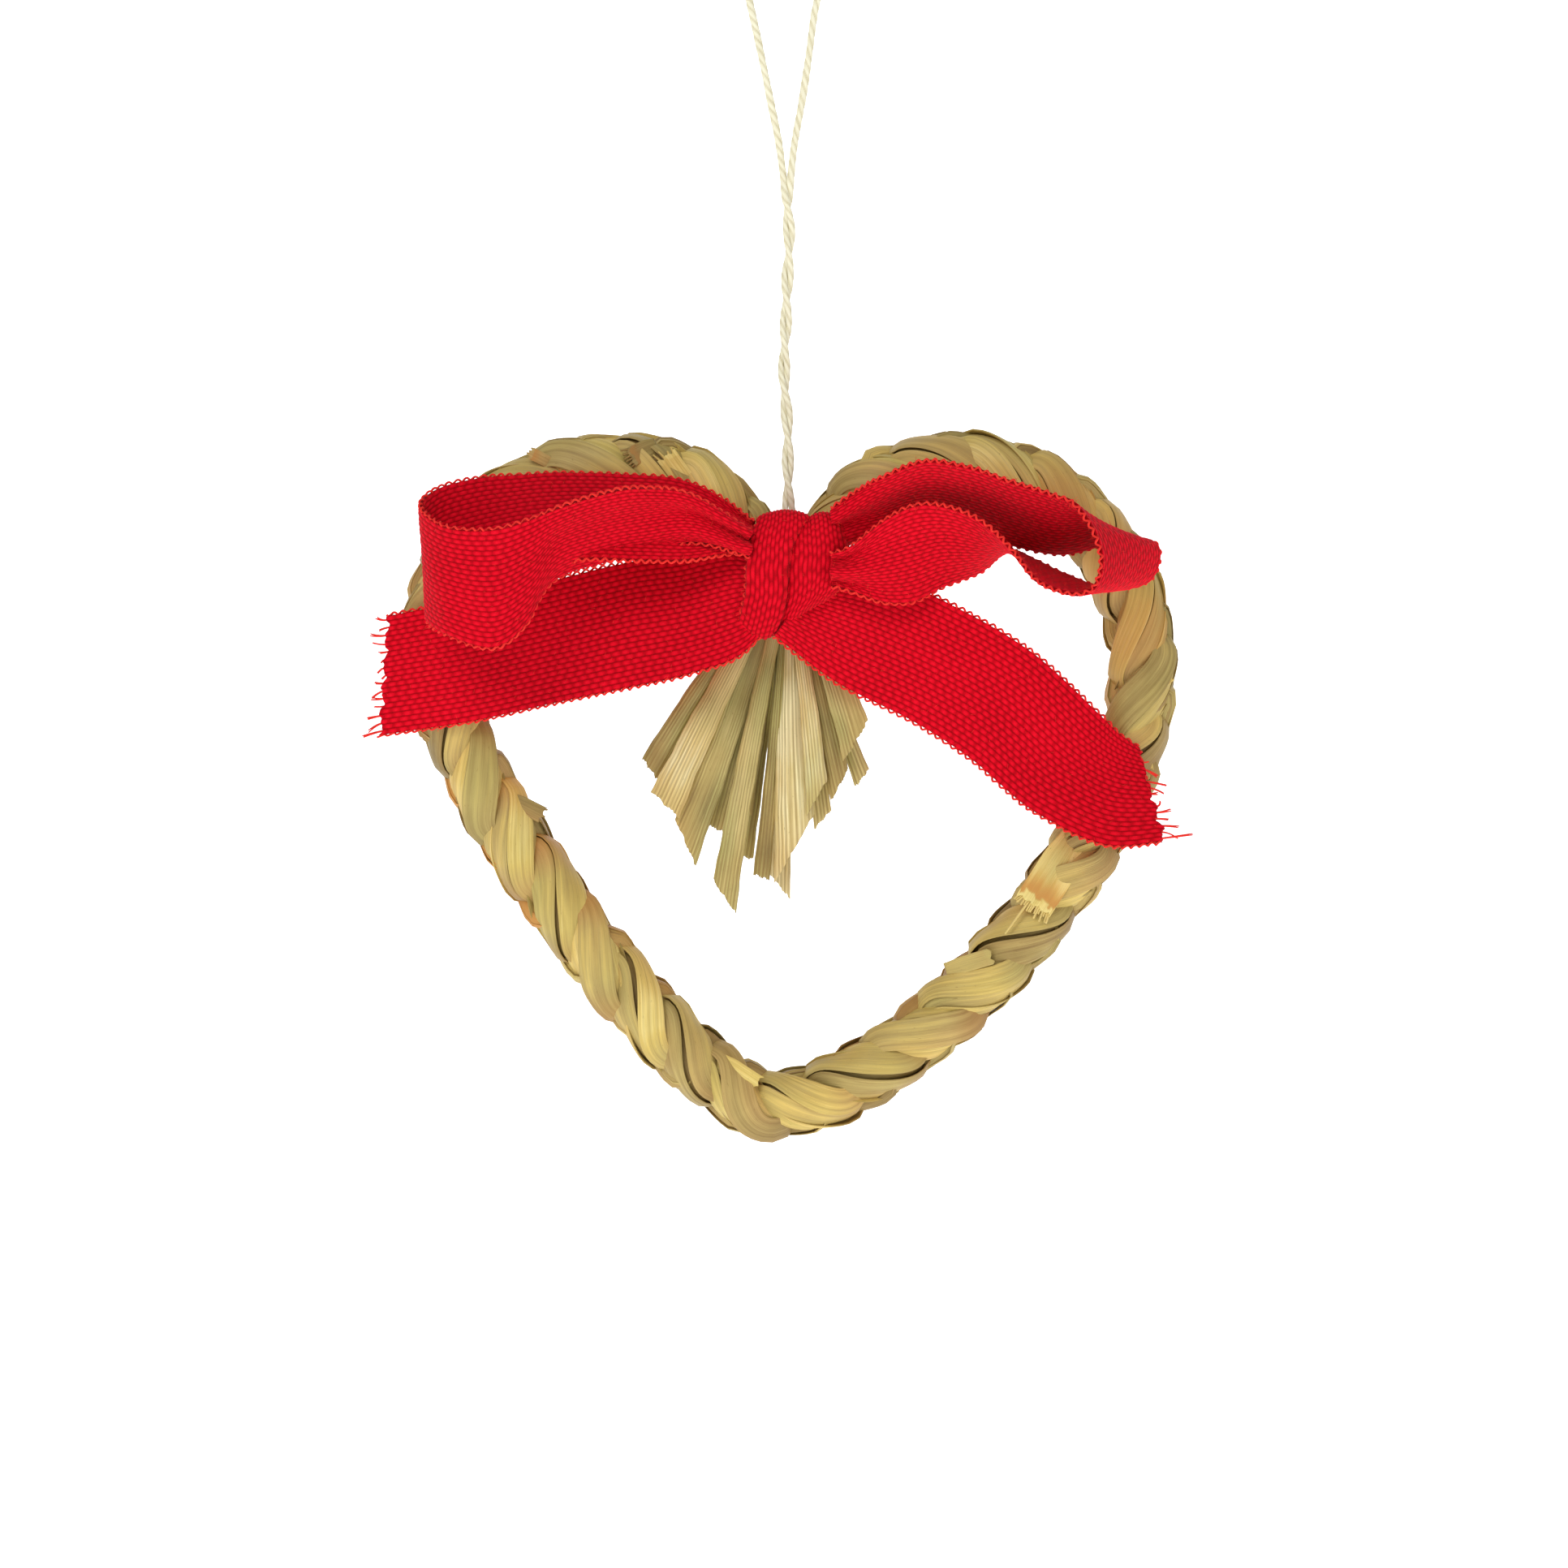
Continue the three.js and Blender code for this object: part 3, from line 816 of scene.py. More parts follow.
@dataclass
class Plait:
    """Three oval strands of straw, plaited on edge so that the front shows slanting lobes."""

    pitches: int = 11
    start_turn: float = 0.0
    swing_forward: float = 1.65
    swing_side: float = 1.8
    skew: float = 0.78
    tilt: float = 0.7
    inner_half: float = 2.4
    outer_half: float = 2.9
    depth_half: float = 1.95
    flatness: float = 0.7
    thickness: float = 0.4
    rib_spacing: float = 0.44
    rib_height: float = 0.014
    neck_size: float = 0.5
    neck_straight: float = 5.0
    gather_run: float = 16.0
    step: float = 0.5
    around: int = 36
    blades: tuple[tuple[Blade, ...], ...] = (
        (Blade(-66, 72, 0, 0.16), Blade(-2, 78, 0.38, -0.12), Blade(62, 72, 0.1, 0.24),
         Blade(122, 80, 0), Blade(182, 84, 0.25, 0.1), Blade(240, 80, 0.05, -0.1),
         Blade(80, 48, 0.05, -0.2, 0.4)),
        (Blade(-46, 98, 0.34, 0.05), Blade(44, 92, 0, -0.2), Blade(128, 92, 0.1, 0.1),
         Blade(222, 104, 0.2, -0.05), Blade(-84, 46, 0.1, 0.25, 0.45)),
        (Blade(-74, 58, 0.05, -0.2), Blade(-24, 66, 0.36, 0.2), Blade(46, 84, 0.02, -0.04),
         Blade(124, 84, 0.18, 0.08), Blade(208, 100, 0, -0.1), Blade(74, 50, 0.1, 0.15, 0.4)),
    )
    tones: tuple[float, ...] = (
        0.6, 0.75, 0.5, 0.85, 0.65, 0.85, 0.5, 0.6, 0.25, 0.55, 0.15, 0.45, 0.8, 0.15, 0.65, 0.7,
        0.2, 0.45, 0.75, 0.15, 0.5, 0.75, 0.05, 0.45, 0.35, 0.65, 0.3, 0.6, 0.8, 0.5, 0.85, 0.6,
        0.7)
    stains: dict[int, float] = field(
        default_factory=lambda: {8: 0.3, 11: 0.9, 13: 0.4, 19: 0.35, 27: 0.5})

    surface: float = 3.5
    loose_ends: tuple[LooseEnd, ...] = (
        LooseEnd((37.2, -34.6), (31.6, -43.2), 5.2, 0.95, 1.0, 16, 0.9, 5.6),
        LooseEnd((-17.2, 16.2), (-20.4, 14.6), 2.6, 0.1, 0.5, 6, 0.2),
        LooseEnd((-12.6, 10.4), (-15.8, 14.8), 2.8, 0.85, 0.2, 4, 0.2),
        LooseEnd((-30.2, 13.6), (-33.4, 15.2), 1.6, 0.3, 0.6, 4, 0.2),
        LooseEnd((-35.8, -29.6), (-31.9, -31.6), 2.2, 0.05, 0.0, 3, -1.2),
        LooseEnd((20.4, -51.6), (26.2, -49.8), 2.2, 0.45, 0.1, 0, 0.5),
        LooseEnd((-9.2, -63.4), (-4.2, -66.6), 3.0, 0.8, 0.0, 0, 0.1),
        LooseEnd((47.2, -15.6), (49.4, -13.6), 1.4, 0.8, 0.2, 5, -1.0),
    )

    def __post_init__(self) -> None:
        """Lays the heart's middle line."""
        self.line = HeartLine().line()

    def frame_at(self, distance: np.ndarray) -> tuple[np.ndarray, np.ndarray]:
        """The middle line's points, and the way out of the heart at each."""
        ahead, behind = self.line.at(distance + 0.4), self.line.at(distance - 0.4)
        along = unit(ahead[:, :3] - behind[:, :3])
        outward = unit(np.cross((0.0, 1.0, 0.0), along))
        return self.line.at(distance)[:, :3], outward

    def strand_line(self, strand: int, distance: np.ndarray, slack: float) -> dict[str, np.ndarray]:
        """One strand's middle line and its flat direction.

        Args:
            strand: 0, 1 or 2.
            distance: distances along the heart's middle line.
            slack: how much further it swings to the sides.

        Returns:
            Its points, flat direction, size, and how far it is to the front.
        """
        middle, outward = self.frame_at(distance)
        near = np.minimum(distance, self.line.length - distance)
        opened = smoothstep(near, self.neck_straight, self.neck_straight + self.gather_run)
        size = (self.neck_size + (1 - self.neck_size) * opened)[:, None]
        drift = 0.045 * waver(50 + strand, distance, 61.0)
        phase = TURN * (distance / self.line.length * self.pitches
                        + strand / 3 + self.start_turn + drift)
        skewed = np.arctan2(self.skew * np.sin(2 * phase), 1 - self.skew * np.cos(2 * phase))
        swing = skewed[:, None] / math.asin(self.skew)
        back = np.array([0.0, 1.0, 0.0])
        points = (middle - back * (size * self.swing_forward * np.sin(phase)[:, None])
                  - outward * (size * (self.swing_side + slack) * swing))
        lie = (self.tilt * np.cos(phase))[:, None]
        flat = outward * np.cos(lie) - back * np.sin(lie)
        return {"points": points, "flat": flat, "size": size, "front": np.sin(phase),
                "phase": phase}

    def lobe_values(self, phase: np.ndarray, strand: int) -> tuple[np.ndarray, np.ndarray]:
        """Tone and stain along a strand, from the lobe that shows at each place."""
        lobe = 3 * (phase / TURN - 0.25 - strand / 3 - self.start_turn) + strand
        count = len(self.tones)
        number = np.round(lobe).astype(int) % count
        before, after = np.array(self.tones)[number], np.array(self.tones)[(number + 3) % count]
        tone = before * 0.8 + after * 0.2
        stain = np.array([self.stains.get(int(n), 0.0) for n in number])
        fade = np.exp(-((lobe - np.round(lobe)) / 0.8) ** 2)
        kernel = np.ones(9) / 9
        tone = np.convolve(np.pad(tone, 4, mode="edge"), kernel, mode="valid")
        return tone, np.convolve(np.pad(stain * fade, 4, mode="edge"), kernel, mode="valid")

    def straw(self, skin: Skin, strand: int, blade: Blade, seed: int) -> None:
        """Adds one ribbed straw of a strand.

        Args:
            skin: the piece it is added to.
            strand: the strand it lies in.
            blade: its place around the strand.
            seed: picks its wander.
        """
        distance = np.arange(0, self.line.length, self.step)
        lie = self.strand_line(strand, distance, blade.slack)
        middle = (math.radians(blade.angle) + 0.14 * waver(seed, distance, 43.0))[:, None]
        half = (math.radians(blade.span / 2) * (1 + 0.13 * waver(seed + 1, distance, 27.0)))[:, None]
        wide = self.inner_half + (self.outer_half - self.inner_half) * lie["front"] ** 2
        wide = (wide * (1 + 0.07 * waver(seed % 7, distance, 25.0)))[:, None]
        deep = self.depth_half

        turn = TURN * (np.arange(self.around) + 0.5) / self.around
        share = np.cos(turn)
        angle = middle + half * share
        rounded = np.stack([np.sin(angle) * wide, np.cos(angle) * deep], -1)
        level = np.stack([(np.sin(middle) + np.cos(middle) * half * share) * wide,
                          (np.cos(middle) - np.sin(middle) * half * share) * deep], -1)
        normal = unit(np.stack([np.sin(angle) * deep, np.cos(angle) * wide], -1))
        crown = np.sign(np.sin(turn)) * np.abs(np.sin(turn)) ** 0.6
        across = half * share * self.outer_half
        ribs = np.cos(TURN * across / self.rib_spacing + 2 * waver(seed + 2, distance, 40.0)[:, None])
        ribs = ribs * np.clip(np.abs(np.sin(turn)) * 1.6 - 0.25, 0, 1)
        raised = blade.raised + 0.1 * waver(seed + 3, distance, 21.0)
        lift = (raised[:, None] + self.thickness / 2 * crown
                + self.rib_height * ribs * np.sign(np.sin(turn)))
        cut = rounded * (1 - self.flatness) + level * self.flatness + normal * lift[..., None]

        points, flat, size = lie["points"], lie["flat"], lie["size"]
        along = unit(np.gradient(points, axis=0))
        flat = unit(flat - along * (flat * along).sum(1)[:, None])
        face = np.cross(along, flat)
        rings = (points[:, None] + flat[:, None] * (cut[..., :1] * size[:, None])
                 - face[:, None] * (cut[..., 1:] * size[:, None]))
        tone, stain = self.lobe_values(lie["phase"], strand)
        tone = 0.88 * tone - 0.07 + 0.15 * waver(seed + 4, distance, 33.0) + blade.tone
        lay = np.stack(np.broadcast_arrays(
            across + seed * 3.7 + np.sign(np.sin(turn)) * 5, distance[:, None]), -1)
        # Painted shade: the value falls in the rib valleys and towards both edges of each straw, where
        # it curves away; the finish darkens the colour there.
        edge = np.clip(np.abs(np.sin(turn)) * 3.2, 0, 1)
        skin.tube(rings, lay, {
            "tone": tone[:, None], "stain": stain[:, None],
            "clear_of_shade_and_stain": (0.82 + 0.18 * ribs) * (0.5 + 0.5 * edge)})

    def core(self, skin: Skin, strand: int) -> None:
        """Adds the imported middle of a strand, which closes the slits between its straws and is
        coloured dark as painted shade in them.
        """
        distance = np.arange(0, self.line.length, self.step)
        lie = self.strand_line(strand, distance, 0.0)
        points, size = lie["points"], lie["size"]
        along = unit(np.gradient(points, axis=0))
        flat = unit(lie["flat"] - along * (lie["flat"] * along).sum(1)[:, None])
        turn = TURN * np.arange(16) / 16
        wide, deep = self.inner_half * 0.92, self.depth_half * 0.9
        rings = (points[:, None] + flat[:, None] * (np.cos(turn) * size * wide)[..., None]
                 + np.cross(along, flat)[:, None] * (np.sin(turn) * size * deep)[..., None])
        lay = np.stack(np.broadcast_arrays(turn * 2.5, distance[:, None]), -1)
        # Painted shade: a low tone and a half share of the groove brown make the slits read as shadow.
        skin.tube(rings, lay, {"tone": 0.1, "stain": 0.0, "clear_of_shade_and_stain": 0.5})

    def loose_end(self, skin: Skin, end: LooseEnd, seed: int) -> None:
        """Adds a straw end that leaves its strand, cut or frayed.

        Args:
            skin: the piece it is added to.
            end: where it lies and how it ends.
            seed: picks its wander.
        """
        share = np.linspace(0, 1, 30)
        (start_x, start_z), (end_x, end_z) = end.start, end.end
        x, z = start_x + (end_x - start_x) * share, start_z + (end_z - start_z) * share
        gap = (self.line.rows[:, 0] - end_x) ** 2 + (self.line.rows[:, 2] - end_z) ** 2
        middle = self.line.rows[np.argmin(gap), 1]
        rise = self.surface - 1.3 * (1 - share) ** 3 + end.lift * share
        points = np.stack([x, middle - rise, z], -1)
        length = math.hypot(end_x - start_x, end_z - start_z)
        along = unit(np.gradient(points, axis=0))
        wide = unit(np.cross(along, (0.0, 1.0, 0.0)))
        face = np.cross(along, wide)
        turn = TURN * (np.arange(self.around) + 0.5) / self.around
        across = end.width / 2 * np.cos(turn)
        ragged = 0.25 * waver(seed, across, 1.3)[None] * share[:, None] ** 6
        arch = 0.12 * across**2 / end.width * 2
        through = arch - 0.2 * np.sign(np.sin(turn)) * np.abs(np.sin(turn)) ** 0.6
        width_here = (0.8 + 0.2 * smoothstep(share, 0, 0.4))[:, None]
        rings = (points[:, None] + wide[:, None] * (across * width_here)[..., None]
                 + face[:, None] * (through * np.ones_like(width_here))[..., None]
                 + along[:, None] * ragged[..., None])
        lay = np.stack(np.broadcast_arrays(across + seed * 2.3, (share * length)[:, None]), -1)
        wander = 0.05 * waver(seed + 9, across, 2.1)[None]
        past = share[:, None] - 0.86 - wander
        stain = end.stain * (np.exp(-(np.minimum(past, 0) / 0.2) ** 2) * (past < 0.03))
        skin.tube(rings, lay, {
            "tone": end.tone - 0.35 * stain, "stain": 0.85 * stain, "clear_of_shade_and_stain": 0.9 - 0.3 * stain**6})
        rng = np.random.default_rng(seed)
        for tine in range(end.tines):
            place = (tine + 0.5) / end.tines * 2 - 1
            root = points[-1] - along[-1] * 0.4 + wide[-1] * (place * end.width * 0.46)
            reach = rng.uniform(1.0, 2.0) * min(1.0, end.width / 3.5)
            if end.splinter and tine == end.tines // 3:
                reach = end.splinter
            way = along[-1] + wide[-1] * (0.3 * place + rng.uniform(-0.12, 0.12))
            way = way + np.array([0.0, rng.uniform(-0.12, 0.02), 0.0])
            steps = np.linspace(0, 1, 6)[:, None]
            sag = np.array([0.0, 0.12 * rng.uniform(-1, 1), 0.0]) * steps**2
            skin.rod(root + unit(way) * steps * reach + sag, 0.2 - 0.08 * steps[:, 0], 6,
                     {"tone": end.tone - 0.1 * rng.uniform(0, 1), "stain": 0.1, "clear_of_shade_and_stain": 0.8})

    def build(self, straw: bpy.types.Material) -> None:
        """Makes the three strands, and the loose ends on the first."""
        for strand, blades in enumerate(self.blades):
            skin = Skin(f"plaited_straw_{strand + 1}", ("tone", "stain", "clear_of_shade_and_stain"))
            self.core(skin, strand)
            for number, blade in enumerate(blades):
                self.straw(skin, strand, blade, 100 + 40 * strand + 5 * number)
            if strand == 0:
                for number, end in enumerate(self.loose_ends):
                    self.loose_end(skin, end, 400 + number)
            piece = skin.make(straw, Body.HEART)
            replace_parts(piece, f"plait_strand_{strand + 1}")


# ------------------------------------------------------------------ fan of straw ends


@dataclass(frozen=True)
class CutStraw:
    """One cut end in the fan. Angles are in degrees, lengths in millimetres."""

    layer: int
    angle: float
    reach: float
    width: float
    cut: float
    tone: float
    bow: float = 0.0


@dataclass
class StrawFan:
    """The plait's own ends, cut off and spread below the binding."""

    apex: float = 2.0
    root_reach: float = 7.0
    root_share: float = 0.42
    layer_pitch: float = 1.1
    front: float = -2.2
    thickness: float = 0.75
    gutter: float = 0.35
    rib_spacing: float = 0.5
    rib_height: float = 0.05
    step: float = 0.4
    around: int = 56
    straws: tuple[CutStraw, ...] = (
        CutStraw(1, -34, 33, 3.4, 20, 0.25, 0.6),
        CutStraw(0, -27, 36, 4.8, 17, 0.72, 0.4),
        CutStraw(1, -19, 39.5, 4.4, 48, 0.35, -0.5),
        CutStraw(2, -15.4, 36.6, 3.2, 10, 0.6),
        CutStraw(0, -11.3, 45, 3.7, 45, 0.5, 0.5),
        CutStraw(3, -10.3, 34, 2.6, 0, 0.5),
        CutStraw(4, -9, 39.4, 3.2, 10, 0.3),
        CutStraw(1, -4.4, 41.8, 2.2, 15, 0.2, -0.3),
        CutStraw(3, -2, 42.5, 3.6, 50, 0.85),
        CutStraw(1, 0.6, 38, 5.4, -59, 0.92, 0.3),
        CutStraw(0, 7.4, 31.6, 3.2, -54, 0.8, -0.4),
        CutStraw(2, 7.4, 34.5, 2.6, -40, 0.7),
        CutStraw(1, 12.5, 30.5, 3.2, -48, 0.15),
        CutStraw(2, 17.5, 30.4, 2.4, -35, 0.5, 0.4),
        CutStraw(0, 21, 25.6, 5, -38, 0.45, -0.5),
    )

    def straw(self, number: int, cut: CutStraw, straw: bpy.types.Material) -> None:
        """Makes one cut end.

        Args:
            number: its number in the fan.
            cut: its sizes.
            straw: its finish.
        """
        turn = TURN * (np.arange(self.around) + 0.5) / self.around
        side = np.cos(turn)
        slant = cut.width / 2 * math.tan(math.radians(cut.cut))
        ragged = 0.16 * waver(number, side, 0.9) + 0.1 * waver(number + 60, side, 0.23)
        tips = cut.reach + side * slant + ragged
        rows = round((cut.reach - self.root_reach) / self.step)
        share = np.linspace(0, 1, rows)[:, None]
        reach = self.root_reach + (tips - self.root_reach) * share
        opened = smoothstep(share, -0.2, 0.3)
        width = cut.width * (self.root_share + (1 - self.root_share) * share)
        width = width * (1 + 0.04 * waver(number + 20, reach[:, :1], 9.0))
        across = side * width / 2
        crown = np.sign(np.sin(turn)) * np.abs(np.sin(turn)) ** 0.7
        ribs = np.cos(TURN * side * cut.width / 2 / self.rib_spacing + number)
        ribs = ribs * np.clip(np.abs(np.sin(turn)) * 1.7 - 0.25, 0, 1) * opened
        thin = 1 - 0.45 * smoothstep(share, 0.75, 1.0)
        face = (self.thickness / 2 * crown * thin + self.rib_height * ribs * np.sign(np.sin(turn))
                + self.gutter * (side**2 - 0.5) * opened * (1 if number % 3 else -1))
        lift = -0.9 * smoothstep(share, 0.2, 1.0) * (1 if cut.layer < 2 else 0.2)
        angle = math.radians(cut.angle)
        sideways = across + cut.bow * (share - 0.4) ** 2 * 3
        x = sideways * math.cos(angle) + reach * math.sin(angle)
        z = self.apex + sideways * math.sin(angle) - reach * math.cos(angle)
        y = self.front + cut.layer * self.layer_pitch + face + lift
        y = y + 0.35 * waver(number + 40, reach, 30.0)
        skin = Skin(f"cut_straw_{number:02d}", ("tone", "stain", "clear_of_shade_and_stain"))
        lay = np.stack([across + number * 6 + np.sign(np.sin(turn)) * 3, reach], axis=-1)
        # Painted shade: the last value darkens the rib valleys toward the groove brown; the stain
        # value marks the cut tips.
        skin.tube(np.stack([x, y, z], axis=-1), lay, {
            "tone": cut.tone + 0.15 * waver(number + 80, reach, 24.0),
            "stain": 0.12 * smoothstep(share, 0.8, 1.0),
            "clear_of_shade_and_stain": 0.6 + 0.4 * ribs})
        piece = skin.make(straw, Body.HEART)
        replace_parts(piece, f"straw_end_{number:02d}")

    def build(self, straw: bpy.types.Material) -> None:
        """Makes the whole fan."""
        for number, cut in enumerate(self.straws, start=1):
            self.straw(number, cut, straw)


# ------------------------------------------------------------------ binding


@dataclass
class NeckBinding:
    """Thread wound tightly round the two ends of the plait."""

    thread: float = 0.5
    turns: int = 6
    points_per_turn: int = 48
    sides: int = 8

    def build(self, yarn: bpy.types.Material) -> None:
        """Winds the thread."""
        low, high = (np.array(corner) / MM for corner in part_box("binding_thread"))
        half = (high - low)[:2] / 2 - self.thread / 2
        count = self.turns * self.points_per_turn
        turn = np.linspace(0, TURN * self.turns, count)
        rise = np.linspace(low[2] - high[2] + self.thread / 2, -self.thread / 2, count)
        points = np.stack([half[0] * np.cos(turn), half[1] * np.sin(turn), rise], axis=-1)
        skin = Skin("wound_binding_thread", ("relief",))
        skin.rod(points, self.thread / 2, self.sides, {"relief": 0.7})
        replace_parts(skin.make(yarn, Body.HEART), "binding_thread")


# ------------------------------------------------------------------ ribbon bow


@dataclass(frozen=True)
class Fold:
    """A place on a ribbon's middle line, in millimetres.

    out is away from the knot's side and forward is from the plait's front. edge goes from
    the lower edge to the upper one as a share of the ribbon's width, with x away from the
    knot.
    """

    out: float
    forward: float
    z: float
    edge: tuple[float, float, float]


@dataclass(frozen=True)
class Weave:
    """The ribbon's weave: columns of long beads, each column half a bead on from the next."""

    width: float = 16.0
    thickness: float = 0.55
    columns: int = 23
    samples: int = 4
    bead: float = 1.25
    relief: float = 0.12
    step: float = 0.2

    def across(self) -> np.ndarray:
        """Places across the ribbon, from 0 at the lower edge to 1 at the upper."""
        return np.linspace(0, 1, self.columns * self.samples + 1)

    def height(self, across: np.ndarray, along: np.ndarray, shift: float) -> np.ndarray:
        """The woven face's height from 0 to 1.

        Args:
            across: place across from 0 to 1.
            along: distance along in millimetres.
            shift: moves the beads along, in beads.

        Returns:
            The height at each point.
        """
        place = across * self.columns
        column = np.floor(np.minimum(place, self.columns - 0.001))
        wander = 0.12 * np.sin(column * 2.4 + along * 0.21) + 0.06 * np.sin(column * 5.1 - along * 0.5)
        rise = np.sin(math.pi * np.clip(place - column, 0, 1)) ** 0.7
        turn = TURN * (along / self.bead + 0.5 * (column % 2) + shift + wander)
        bead = (0.5 - 0.5 * np.cos(turn)) ** 0.8
        return rise * (0.22 + 0.78 * bead)


@dataclass
class RibbonPiece:
    """A stretch of ribbon laid on a middle surface, with its weave and its sewn edges."""

    name: str
    weave: Weave
    middle: np.ndarray
    along: np.ndarray
    looped: bool = False
    cut: bool = False
    fuzz: int = 0
    seed: int = 0

    def normals(self) -> np.ndarray:
        """The middle surface's normals."""
        surface = self.middle
        if self.looped:
            surface = np.concatenate([surface[-1:], surface, surface[:1]])
        down = np.gradient(surface, axis=0)
        over = np.gradient(surface, axis=1)
        normal = unit(np.cross(down, over))
        return normal[1:-1] if self.looped else normal

    def build(self, cloth: bpy.types.Material, edging: bpy.types.Material) -> bpy.types.Object:
        """Makes the woven piece and its edges.

        Args:
            cloth: the woven finish.
            edging: the finish of the edges and loose threads.

        Returns:
            The woven piece.
        """
        across = np.broadcast_to(self.weave.across(), self.along.shape)
        normal = self.normals()
        front = self.weave.height(across, self.along, 0.0)
        back = self.weave.height(across, self.along, 0.5)
        half = self.weave.thickness / 2
        outer = self.middle - normal * (half + self.weave.relief * (front - 0.5))[..., None]
        inner = self.middle + normal * (half + self.weave.relief * (back - 0.5))[..., None]
        width = across * self.weave.width
        lay = np.stack([width, self.along], axis=-1)
        inner_lay = np.stack([width + self.weave.width * 2, self.along], axis=-1)
        skin = Skin(self.name, ("relief",))
        skin.tube(np.concatenate([outer, inner[:, ::-1]], axis=1),
                  np.concatenate([lay, inner_lay[:, ::-1]], axis=1),
                  {"relief": np.concatenate([front, back[:, ::-1]], axis=1)}, self.looped)
        piece = skin.make(cloth, Body.HEART)
        trim = Skin(f"{self.name}_edges", ("relief",))
        for column in (0, -1):
            self.edge(trim, column, normal)
        if self.cut:
            self.fray(trim, normal)
        self.hairs(trim, outer, -normal)
        self.hairs(trim, inner, normal)
        self.trim = trim.make(edging, Body.HEART)
        return piece

    def edge(self, skin: Skin, column: int, normal: np.ndarray) -> None:
        """Adds the looped yarn along one edge.

        Args:
            skin: the piece it is added to.
            column: 0 for the lower edge and -1 for the upper.
            normal: the middle surface's normals.
        """
        pitch, reach = 1.15, 0.22
        edge = self.middle[:, column]
        outward = unit(edge - self.middle[:, 3 if column == 0 else -4])
        line = Line(np.concatenate([edge, outward, normal[:, column]], axis=1))
        distance = np.arange(0, line.length, pitch / 11)
        rows = line.at(distance)
        turn = TURN * distance / pitch + 0.5 * waver(self.seed + column, distance, 8.0)
        way, face = rows[:, 3:6], rows[:, 6:9]
        swell = (reach * (1 + 0.2 * waver(self.seed + 5, distance, 5.0)))[:, None]
        points = (rows[:, :3] + way * (0.16 + swell * 0.8 * np.cos(turn)[:, None])
                  + face * swell * np.sin(turn)[:, None])
        skin.rod(points, 0.15, 6, {"relief": 0.75})

    def fray(self, skin: Skin, normal: np.ndarray) -> None:
        """Adds loose threads at the cut end."""
        rng = np.random.default_rng(self.seed + 70)
        columns = self.middle.shape[1]
        for place in np.linspace(0.04, 0.97, 15):
            column = int(place * (columns - 1))
            start = self.middle[-2, column]
            way = unit(self.middle[-1, column] - self.middle[-12, column])
            curl = unit(rng.normal(size=3)) * rng.uniform(0.3, 0.9)
            reach = rng.uniform(0.9, 2.1) if rng.random() < 0.75 else rng.uniform(0.3, 0.8)
            if place < 0.12:
                curl, reach = curl * 2.2, reach + 1.0
            share = np.linspace(0, 1, 9)[:, None]
            points = start + way * reach * share + curl * share**2 + normal[-2, column] * 0.05
            for _ in range(3):
                spread = unit(rng.normal(size=3)) * 0.16 * share
                skin.rod(points + spread, 0.13 * (1 - 0.4 * share[:, 0]), 5, {"relief": 0.9})

    def hairs(self, skin: Skin, surface: np.ndarray, way: np.ndarray) -> None:
        """Adds short fine fibres that stand off the cloth."""
        rng = np.random.default_rng(self.seed + 90)
        rows, columns = surface.shape[:2]
        for _ in range(self.fuzz):
            row, column = int(rng.integers(rows)), int(rng.integers(columns))
            if rng.random() < 0.35:
                column = 0 if rng.random() < 0.5 else columns - 1
            start, up = surface[row, column], way[row, column]
            lean = unit(up + 0.9 * rng.normal(size=3)) * rng.uniform(0.25, 0.75)
            fibre = [start, start + lean * 0.5 + up * 0.12, start + lean]
            skin.rod(np.array(fibre), 0.02, 3, {"relief": 1.0})


